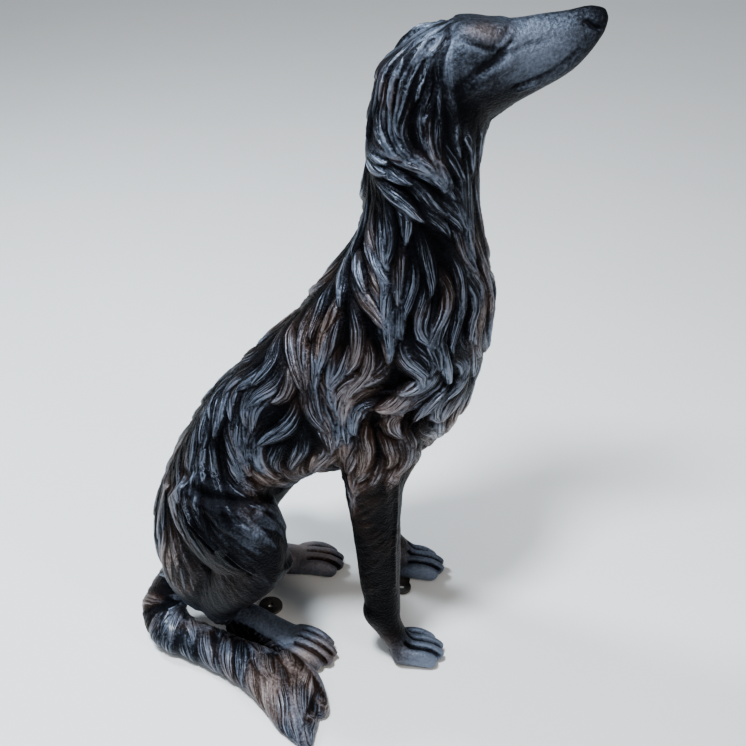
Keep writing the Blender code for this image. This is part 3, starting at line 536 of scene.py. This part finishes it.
def model_figure(fillings=()):
    """The loose forms of the dog, in shares of its height, with any fillings of its hind legs."""
    clay = bmesh.new()
    profile_loft(clay, TRUNK)
    profile_loft(clay, HEAD)
    for side in (RIGHT, LEFT):
        limb_loft(clay, EAR, side)
        for form in (THIGH, SHIN, BUTTOCK, *fillings):
            limb_loft(clay, form, side)
    foreleg(clay, RIGHT, 0.0, 0.0)
    foreleg(clay, LEFT, -0.007, 0.010)
    for x, y, heading in FORE_PAWS:
        paw(clay, (x, y), heading)
    for x, y, heading in HIND_FEET:
        hind_foot(clay, (x, y), heading)
    limb_loft(clay, TAIL, across=None)
    limb_loft(clay, TAIL_LOBE, across=None)
    bmesh.ops.recalc_face_normals(clay, faces=clay.faces)
    return mesh_of(clay, "dog_forms")


def baked(mesh, set_modifiers):
    """A new mesh with an object's modifiers worked in."""
    worker = add_object("worker", mesh)
    set_modifiers(worker.modifiers)
    graph = bpy.context.evaluated_depsgraph_get()
    result = bpy.data.meshes.new_from_object(worker.evaluated_get(graph))
    bpy.data.objects.remove(worker, do_unlink=True)
    return result


def fuse(modifiers, voxel):
    skin = modifiers.new("fuse", "REMESH")
    skin.mode = "VOXEL"
    skin.voxel_size = voxel
    soften = modifiers.new("soften", "SMOOTH")
    soften.factor = 0.5
    soften.iterations = round(5 * (SKIN_VOXEL / voxel) ** 2)


def thin_out(modifiers, ratio):
    thin = modifiers.new("thin", "DECIMATE")
    thin.ratio = min(1.0, ratio)
    thin.use_collapse_triangulate = True


# The coat

def flat_on(directions, normals):
    """The directions laid along the surface."""
    flat = directions - normals * (directions * normals).sum(axis=1, keepdims=True)
    return flat / np.maximum(np.linalg.norm(flat, axis=1, keepdims=True), 1e-9)


def turned(directions, normals, angles):
    """The directions turned about the normals by angles in radians."""
    return directions * np.cos(angles)[:, None] + np.cross(normals, directions) * np.sin(angles)[:, None]


def sway_at(spots):
    """How far the coat swings at each spot, from about -1 to 1. It changes slowly from place to place."""
    x, y, z = spots.T * 2 * math.pi
    drift = np.sin((0.6 * z - 0.8 * x) / 0.26)
    broad = np.sin((0.6 * x + 0.8 * z + 0.3 * y) / SWAY_LENGTH + 1.3 * drift)
    return 0.75 * broad + 0.35 * np.sin((0.9 * x - 0.4 * z + y) / (0.5 * SWAY_LENGTH))


def squared_gaps(spots, marks):
    """The squared distance from each spot to each mark."""
    return (spots ** 2).sum(axis=1)[:, None] - 2 * spots @ marks.T + (marks ** 2).sum(axis=1)


def coat_at(spots, normals):
    """The coat's flow along the surface at each spot, and its (length, half width, relief, curl)."""
    table = np.array(COAT)
    side_view = spots[:, [0, 2]]
    share = 1 / (squared_gaps(side_view, table[:, :2]) + FLOW_BLEND) ** 2
    share /= share.sum(axis=1, keepdims=True)
    heading = np.radians(table[:, 2])
    away = PARTING * np.clip(spots[:, 1] / 0.03, -1, 1) * np.clip(normals @ (-0.7, 0, 0.7), 0, 1)
    flow = np.stack([share @ np.cos(heading), away, share @ np.sin(heading)], axis=1)
    sizes = share @ table[:, 3:]
    middle = smooth_stations(TAIL)[:, :3]
    gap = squared_gaps(spots, middle)
    nearest = gap.argmin(axis=1)
    on_tail = gap.min(axis=1) < TAIL_REACH ** 2
    along = np.gradient(middle, axis=0)[nearest]
    swirl = np.radians(np.interp(nearest / (len(middle) - 1), (0.2, 0.6, 1), TAIL_SWIRL))
    wrapped = turned(flat_on(along, normals), normals, -swirl)
    flow = np.where(on_tail[:, None], wrapped, flat_on(flow, normals))
    sizes = np.where(on_tail[:, None], np.array(TAIL_COAT), sizes)
    return turned(flow, normals, np.radians(sizes[:, 3]) * sway_at(spots)), sizes


def scatter_roots(spots, normals, flow, sizes, chance):
    """Indices of the spots where locks take root, spread evenly by the locks' own length and width."""
    aside = np.cross(normals, flow)
    cells = np.floor(spots / (ROOT_GAP_ALONG * sizes[:, 0].max())).astype(int)
    held = {}
    for i in chance.permutation(np.flatnonzero(sizes[:, 2] > BARE_RELIEF)):
        block = itertools.product(*((cell - 1, cell, cell + 1) for cell in cells[i].tolist()))
        near = [j for cell in block for j in held.get(cell, ())]
        gap = spots[near] - spots[i]
        along_share = gap @ flow[i] / (ROOT_GAP_ALONG * sizes[i, 0])
        aside_share = gap @ aside[i] / (ROOT_GAP_ASIDE * sizes[i, 1])
        crowding = (along_share ** 2 + aside_share ** 2 < 1) & (normals[near] @ normals[i] > 0.3)
        if not crowding.any():
            held.setdefault(tuple(cells[i].tolist()), []).append(i)
    return np.array([i for cell in held.values() for i in cell])


def skin_tree(skin):
    return BVHTree.FromPolygons(points_of(skin)[0].tolist(), [tuple(face.vertices) for face in skin.polygons])


def trace_locks(skin, chance, shares=(1.0, 1.0)):
    """The locks as (points, normals, half widths, heights, leans, marks): each starts at a root and follows
    the flow over the skin. Three marks from 0 to 1 set a lock apart. The shares are of the coat's length and
    half width."""
    spots, normals = points_of(skin)
    tree = skin_tree(skin)
    flow, sizes = coat_at(spots, normals)
    sizes[:, :2] = np.maximum(sizes[:, :2] * shares, (0, LEAST_HALF_WIDTH))
    roots = scatter_roots(spots, normals, flow, sizes, chance)
    here, facing, sizes = spots[roots], normals[roots], sizes[roots]
    stray = np.radians(chance.uniform(-1, 1, len(roots)) * LOCK_STRAY)
    hook = np.radians(chance.uniform(-1, 1, len(roots)) * sizes[:, 3])
    stretch = chance.uniform(0.75, 1.25, len(roots)) * sizes[:, 0] / (LOCK_STEPS - 1)
    heights = chance.uniform(0.75, 1.1, len(roots))
    leans = chance.uniform(-1, 1, len(roots)) * LOCK_LEAN
    marks = chance.uniform(0, 1, (len(roots), 3))
    path, sides = [here], [facing]
    for step in range(LOCK_STEPS - 1):
        flow, _ = coat_at(here, facing)
        onward = turned(flow, facing, stray + hook * (step / (LOCK_STEPS - 1)) ** 2)
        aim = here + onward * stretch[:, None]
        found = [tree.find_nearest(Vector(spot)) for spot in aim]
        here = np.array([spot for spot, _, _, _ in found])
        facing = np.array([normal for _, normal, _, _ in found])
        path.append(here)
        sides.append(facing)
    return np.stack(path, axis=1), np.stack(sides, axis=1), sizes[:, 1], heights, leans, marks


def lock_place(spots, path, sides):
    """Each spot's share of the way along the path, its distance to the left of it, and how far off it is."""
    along, aside, gap = np.zeros(len(spots)), np.zeros(len(spots)), np.full(len(spots), 9.0)
    for i in range(len(path) - 1):
        run = path[i + 1] - path[i]
        share = np.clip((spots - path[i]) @ run / max(run @ run, 1e-12), 0, 1)
        offset = spots - path[i] - share[:, None] * run
        length = np.linalg.norm(offset, axis=1)
        nearer = length < gap
        gap = np.where(nearer, length, gap)
        along = np.where(nearer, (i + share) / (len(path) - 1), along)
        sideways = unit(np.cross(sides[i], run) + 1e-12)
        aside = np.where(nearer, offset @ sideways, aside)
    return along, aside, gap


def box_finder(spots, size=0.02):
    """A function that gives the indices of the spots in a box. It looks in cells of that size, as seen from
    the side."""
    cells = np.floor(spots[:, [0, 2]] / size).astype(int) + 1000
    keys = cells @ (10000, 1)
    order = np.argsort(keys)
    keys = keys[order]

    def inside(low, high):
        left, bottom = np.floor(low[[0, 2]] / size).astype(int) + 1000
        right, top = np.floor(high[[0, 2]] / size).astype(int) + 1000
        columns = 10000 * np.arange(left, right + 1)
        ends = [np.searchsorted(keys, (column + bottom, column + top + 1)) for column in columns]
        near = np.concatenate([order[start:end] for start, end in ends])
        return near[((spots[near] > low) & (spots[near] < high)).all(axis=1)]

    return inside


def lay_locks(spots, normals, locks):
    """Lays the locks over each other, their tips foremost. It returns the lift at each spot, from 0 to about
    1, how deep it lies between strands and the lock's own shade, both from 0 to 1, its place in strands, its
    share of the way along its lock, and which lock that is."""
    lift, rank, groove, shade, strand, reach = (np.zeros(len(spots)) for _ in range(6))
    owner = np.full(len(spots), -1)
    inside = box_finder(spots)
    for number, (path, sides, half_width, height, lean, (first, second, tone)) in enumerate(zip(*locks)):
        near = inside(path.min(axis=0) - half_width, path.max(axis=0) + half_width)
        along, aside, gap = lock_place(spots[near], path, sides)
        across = np.clip(aside / (half_width * np.interp(along, LOCK_STATIONS, LOCK_WIDTHS)), -1, 1)
        rise = (1 - np.abs(across) ** LOCK_FLATNESS) * np.interp(along, LOCK_STATIONS, LOCK_HEIGHTS)
        within = (gap < 1.5 * half_width) & (normals[near] @ sides[len(path) // 2] > 0)
        rise *= height * (1 + lean * across) * within
        bent = across + STRAND_BEND * (1 - across ** 2) * np.sin(2 * math.pi * (along + tone))
        place = bent * half_width / STRAND_WIDTH
        coarse = np.abs(np.sin(math.pi * (place + first)))
        strands = 0.6 * coarse + 0.4 * np.abs(np.sin(math.pi * (FINE_STRANDS * place + second)))
        ranked = rise + TIP_RANK * along * (rise > 0)
        wins = ranked > rank[near]
        won = near[wins]
        rank[won], lift[won], shade[won], owner[won] = ranked[wins], rise[wins], tone, number
        strand[won], reach[won] = place[wins], along[wins]
        groove[won] = 1 - (strands ** 0.7 * (1 - across ** 6))[wins]
    return lift, groove, shade, strand, reach, owner


def stroke_paths(tree):
    """The strokes on both sides of the dog and between its toes: (relief, half width, points on the skin)."""
    for relief, half_width, outline in STROKES:
        for side in (RIGHT, LEFT):
            starts = [Vector((x, RAY_REACH * side, z)) for x, z in smooth_stations(outline, 8)]
            yield relief, half_width, cast_onto(tree, starts, Vector((0, -side, 0)))
    paws = [*FORE_PAWS]
    for x, y, heading in HIND_FEET:
        heel = ground_frame((x, y), heading)(HIND_PAW_REACH, 0, 0)
        paws.append((heel[0], heel[1], heading))
    for x, y, heading in paws:
        place = ground_frame((x, y), heading)
        for aside in (-0.5, 0, 0.5):
            reaches = np.linspace(0.22, 1.0, 16) * PAW_LENGTH
            starts = [Vector(place(reach, aside * PAW_HALF_WIDTH, ABOVE_PAWS)) for reach in reaches]
            yield *TOE_GROOVE, cast_onto(tree, starts, Vector((0, 0, -1)))


def cast_onto(tree, starts, along):
    """Where the rays meet the skin, or the skin's nearest spot to a ray's middle if it passes by."""
    hits = [tree.ray_cast(start, along, RAY_REACH)[0] for start in starts]
    middles = [start + along * RAY_REACH / 2 for start in starts]
    return np.array([hit or tree.find_nearest(middle)[0] for hit, middle in zip(hits, middles)])


def evenly(path, gap):
    """Points along the path that are no further apart than the gap."""
    travelled = np.concatenate([[0], np.cumsum(np.linalg.norm(np.diff(path, axis=0), axis=1))])
    marks = np.linspace(0, travelled[-1], math.ceil(travelled[-1] / gap) + 1)
    return np.stack([np.interp(marks, travelled, path[:, i]) for i in range(3)], axis=1)


def press_strokes(skin):
    """Models the strokes in relief into the skin, and returns how deep it is creased there, from 0 to 1."""
    spots, normals = points_of(skin)
    lift = np.zeros(len(spots))
    inside = box_finder(spots)
    for relief, half_width, path in stroke_paths(skin_tree(skin)):
        path = evenly(path, half_width / 4)
        near = inside(path.min(axis=0) - half_width, path.max(axis=0) + half_width)
        gap = np.linalg.norm(spots[near, None] - path[None], axis=2).min(axis=1)
        lift[near] += relief * np.clip(1 - (gap / half_width) ** 2, 0, 1) ** 1.5
    move_points(skin, spots + normals * lift[:, None])
    return np.clip(-lift / CREASE_DEPTH, 0, 1)


def neighbours(skin):
    """The two ends of every edge, each way round."""
    ends = np.empty(2 * len(skin.edges), np.int32)
    skin.edges.foreach_get("vertices", ends)
    return np.concatenate([ends.reshape(-1, 2), ends.reshape(-1, 2)[:, ::-1]]).T


def well_inside(owner, skin, steps=2):
    """Which spots are more than that many edges away from where one lock gives way to another."""
    near, far = neighbours(skin)
    outer = np.bincount(near, owner[near] != owner[far], len(owner)) > 0
    for _ in range(steps - 1):
        outer |= np.bincount(near, outer[far], len(owner)) > 0
    return ~outer


def smoothed(values, skin, rounds):
    """The values at the skin's spots, each blended with its neighbours'."""
    near, far = neighbours(skin)
    count = np.bincount(near, minlength=len(values))
    for _ in range(rounds):
        values = 0.5 * (values + np.bincount(near, values[far], len(values)) / count)
    return values


def carve_coat(skin, locks, hairs, creases):
    """Raises the locks out of the skin and combs strands into them, with fine hair between. For the finish it
    keeps the lift, painted as highlight on the crests, the grooves and creases, painted as shade, the place
    across and along a lock, how combed it is, its shade of colour, the lightening, mostly painted highlight
    and shade, and how brown the patina is."""
    spots, normals = points_of(skin)
    _, sizes = coat_at(spots, normals)
    lift, groove, shade, strand, reach, owner = lay_locks(spots, normals, locks)
    fine_lift = lay_locks(spots, normals, hairs)[0]
    relief = sizes[:, 2]
    haired = np.clip(relief / STRAND_RELIEF, 0, 1)
    downy = np.clip(relief / HAIR_RELIEF, 0, 1)
    cover = np.clip(lift / COVER_LIFT, 0, 1)
    fine = HAIR_DEPTH * downy * (fine_lift - 0.5)
    depth = relief * (lift - MEAN_LIFT) - STRAND_DEPTH * haired * groove * cover + fine * (1 - 0.8 * cover)
    # Painted shade: the gaps between strands, and between fine hairs where no lock covers them, are made dark
    groove = groove * haired * cover + HAIR_SHADE * downy * (1 - fine_lift) * (1 - cover)
    move_points(skin, spots + normals * smoothed(depth, skin, 2)[:, None])
    combed = haired * np.clip(2 * lift - 0.2, 0, 1) * well_inside(owner, skin)
    # The places painted lighter or darker: painted highlights where light falls, painted shade on the lower
    # chest, and browner or bluer tone
    lightening, warmth = np.zeros(len(spots)), np.zeros(len(spots))
    for x, z, reach_x, reach_z, much, brown in PAINTED_LIGHT_AND_TONE:
        share = np.exp(-((spots[:, 0] - x) / reach_x) ** 2 - ((spots[:, 2] - z) / reach_z) ** 2)
        lightening += much * share
        warmth += brown * share
    # The lift that the finish paints as highlight: the lock's height on the coat, and the places painted
    # lighter on the bare skin and the coat
    lift = (1 - 0.5 * lightening) * lift * haired + BARE_LIFT * (1 - haired) + lightening * (1 - 0.5 * haired)
    values = {
        "lift": smoothed(lift, skin, 1),
        "groove": smoothed(np.maximum(groove, creases), skin, 1),
        "strand": strand,
        "reach": reach,
        "combed": combed,
        "shade": shade * haired,
        "lightening": np.clip(lightening, 0, 1),
        "warmth": warmth,
    }
    for name, numbers in values.items():
        skin.attributes.new(name, "FLOAT", "POINT").data.foreach_set("value", numbers.astype(np.float32))


# Placing the finished figure where the cast solid stands

def cut_flat(mesh):
    """Cuts the soles off flat on the ground and closes them."""
    clay = bmesh.new()
    clay.from_mesh(mesh)
    whole = clay.verts[:] + clay.edges[:] + clay.faces[:]
    ground = {"plane_co": (0, 0, 0), "plane_no": (0, 0, -1)}
    cut = bmesh.ops.bisect_plane(clay, geom=whole, **ground, clear_outer=True)
    rims = [edge for edge in cut["geom_cut"] if isinstance(edge, bmesh.types.BMEdge)]
    bmesh.ops.contextual_create(clay, geom=rims)
    clay.to_mesh(mesh)
    clay.free()


def fit_to_solid(mesh, node):
    """Moves the mesh so that its box lies on the node's box, and returns the shift."""
    spots, _ = points_of(mesh)
    low, high = (np.array(corner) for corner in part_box(node))
    scale = (high - low) / (spots.max(axis=0) - spots.min(axis=0))
    shift = (low + high) / 2 - scale * (spots.max(axis=0) + spots.min(axis=0)) / 2
    move_points(mesh, spots * scale + shift)
    return shift


# Finishes

class Value:
    """What a material's nodes work out, so that shader maths reads as plain expressions."""

    def __init__(self, finish, socket):
        self.finish, self.socket = finish, socket

    def maths(self, operation, *numbers):
        return self.finish.add("ShaderNodeMath", {"operation": operation}, dict(enumerate(numbers)))

    def __add__(self, other):
        return self.maths("ADD", self, other)

    def __sub__(self, other):
        return self.maths("SUBTRACT", self, other)

    def __rsub__(self, other):
        return self.maths("SUBTRACT", other, self)

    def __mul__(self, other):
        return self.maths("MULTIPLY", self, other)

    __radd__ = __add__

    def within(self, low, high):
        """0 below low, 1 above high and smooth between."""
        sockets = {"Value": self, "From Min": low, "From Max": high}
        return self.finish.add("ShaderNodeMapRange", {"interpolation_type": "SMOOTHSTEP"}, sockets)


class Finish:
    """A material in the making, on a Principled surface."""

    def __init__(self, name):
        self.material = bpy.data.materials.new(name)
        self.material.use_nodes = True
        self.tree = self.material.node_tree
        self.surface = self.tree.nodes["Principled BSDF"]

    def link(self, node, sockets):
        for name, value in sockets.items():
            if isinstance(value, Value):
                self.tree.links.new(value.socket, node.inputs[name])
            else:
                node.inputs[name].default_value = value

    def add(self, kind, settings, sockets, output=0):
        """A node of that type, with its settings made first, then its sockets' values or links."""
        node = self.tree.nodes.new(kind)
        for name, value in settings.items():
            setattr(node, name, value)
        self.link(node, sockets)
        return Value(self, node.outputs[output])

    def attribute(self, name):
        return self.add("ShaderNodeAttribute", {"attribute_name": name}, {}, "Fac")

    def vector(self, x, y, z):
        return self.add("ShaderNodeCombineXYZ", {}, {"X": x, "Y": y, "Z": z})

    def noise(self, scale, detail=4.0, roughness=0.55, place=None):
        place = place or self.add("ShaderNodeTexCoord", {}, {}, "Object")
        sockets = {"Vector": place, "Scale": scale, "Detail": detail, "Roughness": roughness}
        return self.add("ShaderNodeTexNoise", {}, sockets)

    def mix(self, share, low, high):
        return self.add("ShaderNodeMix", {"data_type": "RGBA"}, {0: share, 6: low, 7: high}, 2)

    def bump(self, height, strength, distance):
        return self.add("ShaderNodeBump", {}, {"Strength": strength, "Distance": distance, "Height": height})


# Painted shade for the gaps; the patina's own dark blue and brown; painted highlights in blue-grey, standing
# for sky reflection, and in grey-brown; the lug's own dark and rubbed patina; the floor and the sky light
PAINTED_GAP_SHADE = (0.0015, 0.0015, 0.002, 1)
DARK_BLUE, DARK_BROWN = (0.008, 0.009, 0.012, 1), (0.036, 0.020, 0.014, 1)
PAINTED_HIGHLIGHT_BLUE, PAINTED_HIGHLIGHT_BROWN = (0.152, 0.186, 0.256, 1), (0.218, 0.176, 0.168, 1)
LUG_DARK, LUG_RUBBED = (0.030, 0.028, 0.028, 1), (0.130, 0.115, 0.105, 1)
FLOOR_SHADES = (0.80, 0.80, 0.79, 1), (0.84, 0.84, 0.83, 1)
SKYLIGHT = (0.90, 0.95, 1.0)


def bronze_patina():
    """Dark bronze over cast aluminium, brown or blue-black, with painted shade in black in the gaps and
    creases, and painted highlights in blue-grey or grey-brown on the high strands and the places painted
    lighter."""
    finish = Finish("bronze_patina_painted_light")
    lift, groove, lightening, warmth = (finish.attribute(name) for name in ("lift", "groove", "lightening", "warmth"))
    strand, reach, combed, shade = (finish.attribute(name) for name in ("strand", "reach", "combed", "shade"))
    broad, fine, grain = finish.noise(6.0, 3.0), finish.noise(95.0, 5.0, 0.65), finish.noise(260.0, 3.0)
    streaks = finish.noise(1.0, 2.0, 0.6, finish.vector(strand * 3.0, reach * 1.6, shade * 40.0))
    hairs = (streaks - 0.5) * combed
    specks = (grain - 0.5) * 0.2
    # Painted light: the high lock crests, the streaks along the strands and the places painted lighter are
    # made bright as highlights, and the grooves dark as shade, over random tone from the noises and specks of
    # grain
    tone_and_painted_light = lift * 0.7 + broad * 0.5 + (fine + grain) * 0.3 - groove + lightening * (1.0 - combed) * specks
    high = (tone_and_painted_light + shade * 0.1 + hairs * 3.0).within(0.63, 1.42)
    # The blue that the warmth attribute gives the head, crown hair, nose and forepaws is a painted sky
    # reflection; the rest of the brown and blue mix is random tone
    warm = (broad + shade * 0.15 + warmth * 0.15).within(0.50, 0.75)
    # Painted shade: black in the gaps, the creases and the low places
    clear_of_painted_shade = (lift - groove * 0.5 + fine * 0.3).within(-0.1, 0.9)
    dark = finish.mix(clear_of_painted_shade, PAINTED_GAP_SHADE, finish.mix(warm, DARK_BLUE, DARK_BROWN))
    finish.link(finish.surface, {
        "Base Color": finish.mix(high, dark, finish.mix(warm, PAINTED_HIGHLIGHT_BLUE, PAINTED_HIGHLIGHT_BROWN)),
        "Roughness": 0.44 - combed * 0.12 + lightening * 0.12 + fine * 0.16,
        "Metallic": 1.0 - high * 0.2,
        "Coat Weight": high * combed * 0.5,
        "Coat Roughness": 0.25,
        "Normal": finish.bump(fine + grain * 1.1 + hairs * 3.0, 0.8, 0.0018),
    })
    return finish.material


def lug_bronze():
    """The same patina on the plain lugs, which carry no coat."""
    finish = Finish("lug_bronze_patina")
    lightening, grain = finish.noise(40.0, 4.0), finish.noise(300.0, 4.0, 0.6)
    finish.link(finish.surface, {
        "Base Color": finish.mix(lightening.within(0.35, 0.7), LUG_DARK, LUG_RUBBED),
        "Roughness": 0.40 + grain * 0.25,
        "Metallic": 0.85,
        "Normal": finish.bump(grain, 0.3, 0.0008),
    })
    return finish.material


def pale_floor():
    finish = Finish("pale_studio_floor")
    shade = finish.mix(finish.noise(3.0, 2.0), *FLOOR_SHADES)
    finish.link(finish.surface, {"Base Color": shade, "Roughness": 0.85})
    return finish.material


# The lugs, the lights and the view

def arc(middle, radius, turns):
    return [(middle[0] + radius * math.cos(turn), middle[1] + radius * math.sin(turn)) for turn in turns]


def lug_plate(name, hole, foot, radius, neck, metal):
    """A bevelled lug with its bolt hole, laid on the ground. Its neck runs back into the foot."""
    towards = math.atan2(foot[1] - hole[1], foot[0] - hole[0])
    opening = math.asin(neck / radius)
    rim = arc(hole, radius, np.linspace(towards + opening, towards + 2 * math.pi - opening, RIM_SIDES))
    aside = (-math.sin(towards) * neck, math.cos(towards) * neck)
    rim += [(foot[0] - aside[0], foot[1] - aside[1]), (foot[0] + aside[0], foot[1] + aside[1])]
    bore = arc(hole, BOLT_HOLE_RADIUS, np.arange(BORE_SIDES) * 2 * math.pi / BORE_SIDES)
    clay = bmesh.new()
    edges = []
    for outline in (rim, bore):
        ring = [clay.verts.new((x, y, 0)) for x, y in outline]
        edges += [clay.edges.new((ring[i - 1], ring[i])) for i in range(len(ring))]
    base = bmesh.ops.triangle_fill(clay, use_beauty=True, edges=edges)["geom"]
    faces = [item for item in base if isinstance(item, bmesh.types.BMFace)]
    raised = bmesh.ops.extrude_face_region(clay, geom=faces)["geom"]
    corners = [item for item in raised if isinstance(item, bmesh.types.BMVert)]
    bmesh.ops.translate(clay, vec=(0, 0, LUG_THICKNESS), verts=corners)
    bmesh.ops.dissolve_limit(clay, angle_limit=0.01, verts=clay.verts, edges=clay.edges)
    bmesh.ops.recalc_face_normals(clay, faces=clay.faces)
    plate = add_object(name, mesh_of(clay, name))
    plate.data.materials.append(metal)
    soften = plate.modifiers.new("edge", "BEVEL")
    soften.width = LUG_BEVEL
    soften.segments = 3
    soften.angle_limit = math.radians(60)
    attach(plate, "root")


def light_at(name, kind, spot, aim, power, colour, **sizes):
    lamp = bpy.data.lights.new(name, kind)
    lamp.energy = power
    lamp.color = colour
    for size, value in sizes.items():
        setattr(lamp, size, value)
    item = add_object(name, lamp)
    item.location = spot
    item.rotation_euler = (Vector(aim) - Vector(spot)).to_track_quat("-Z", "Y").to_euler()


def light_studio():
    """A soft bluish light from above, as open sky, with weaker ones from the front and behind."""
    sky = bpy.data.worlds.new("studio")
    sky.use_nodes = True
    sky.node_tree.nodes["Background"].inputs["Color"].default_value = (*SKYLIGHT, 1)
    sky.node_tree.nodes["Background"].inputs["Strength"].default_value = 0.17
    bpy.context.scene.world = sky
    light_at("open_sky", "SUN", (-0.6, -0.9, 3), (0, 0, 0.5), 1.0, SKYLIGHT, angle=math.radians(40))
    for name, spot, aim_height, watts, colour, width in (
        ("overhead_softbox", (-0.4, -0.6, 2.6), 0.5, 120, (0.86, 0.93, 1.0), 0.4),
        ("front_softbox", (1.6, -1.3, 1.6), 0.6, 18, (1.0, 0.90, 0.80), 0.5),
        ("back_softbox", (-1.5, 0.9, 2.3), 0.6, 80, (0.80, 0.90, 1.0), 0.5),
    ):
        light_at(name, "AREA", spot, (0, 0, aim_height), watts, colour, shape="DISK", size=width)


def photo_camera(shift):
    """The photo's camera, moved with the figure."""
    lens = bpy.data.cameras.new("photo_view")
    lens.lens = CAMERA_LENS
    lens.sensor_width = 36
    camera = add_object("photo_view", lens)
    camera.location = (shift[0], shift[1] - CAMERA_BACK, CAMERA_HEIGHT)
    camera.rotation_euler = (math.radians(90 - CAMERA_PITCH), 0, 0)
    bpy.context.scene.camera = camera


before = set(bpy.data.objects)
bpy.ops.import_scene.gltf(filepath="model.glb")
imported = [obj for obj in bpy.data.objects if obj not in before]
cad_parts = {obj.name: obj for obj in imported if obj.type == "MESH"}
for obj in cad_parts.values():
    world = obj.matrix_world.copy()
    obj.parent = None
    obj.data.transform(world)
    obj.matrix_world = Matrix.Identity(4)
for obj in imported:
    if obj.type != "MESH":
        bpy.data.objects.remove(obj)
solid_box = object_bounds()

chance = np.random.default_rng(COAT_SEED)
guide = baked(model_figure(), lambda modifiers: fuse(modifiers, SKIN_VOXEL))
locks = trace_locks(guide, chance)
hairs = trace_locks(guide, chance, HAIR_SHARES)
casting = baked(model_figure([KNEE]), lambda modifiers: fuse(modifiers, FINE_VOXEL))
creases = press_strokes(casting)
carve_coat(casting, locks, hairs, creases)
kept = FINISHED_TRIANGLES / (2 * len(casting.polygons))
casting = baked(casting, lambda modifiers: thin_out(modifiers, kept))
casting.name = "dog_statue_finished"
cut_flat(casting)
shift = fit_to_solid(casting, NODE)

patina, lug_patina = bronze_patina(), lug_bronze()
casting.materials.append(patina)
for face in casting.polygons:
    face.use_smooth = True
figure = add_object("dog_statue_finished", casting)
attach(figure, "root")
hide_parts(NODE)

for name, hole, foot, radius, share in LUGS:
    hole, foot = (np.array(spot) * STATUE_HEIGHT + shift[:2] for spot in (hole, foot))
    lug_plate(name, hole, foot, radius, share * radius, lug_patina)

bpy.ops.mesh.primitive_plane_add(size=30, location=(0, 0, -0.0005))
floor = bpy.context.active_object
floor.name = "floor"
floor.data.materials.append(pale_floor())
floor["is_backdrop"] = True

photo_camera(shift)
light_studio()

piece_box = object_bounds()
boxes = {"solid": solid_box, "finished": piece_box}
{name: [list(map(float, corner)) for corner in box] for name, box in boxes.items()}
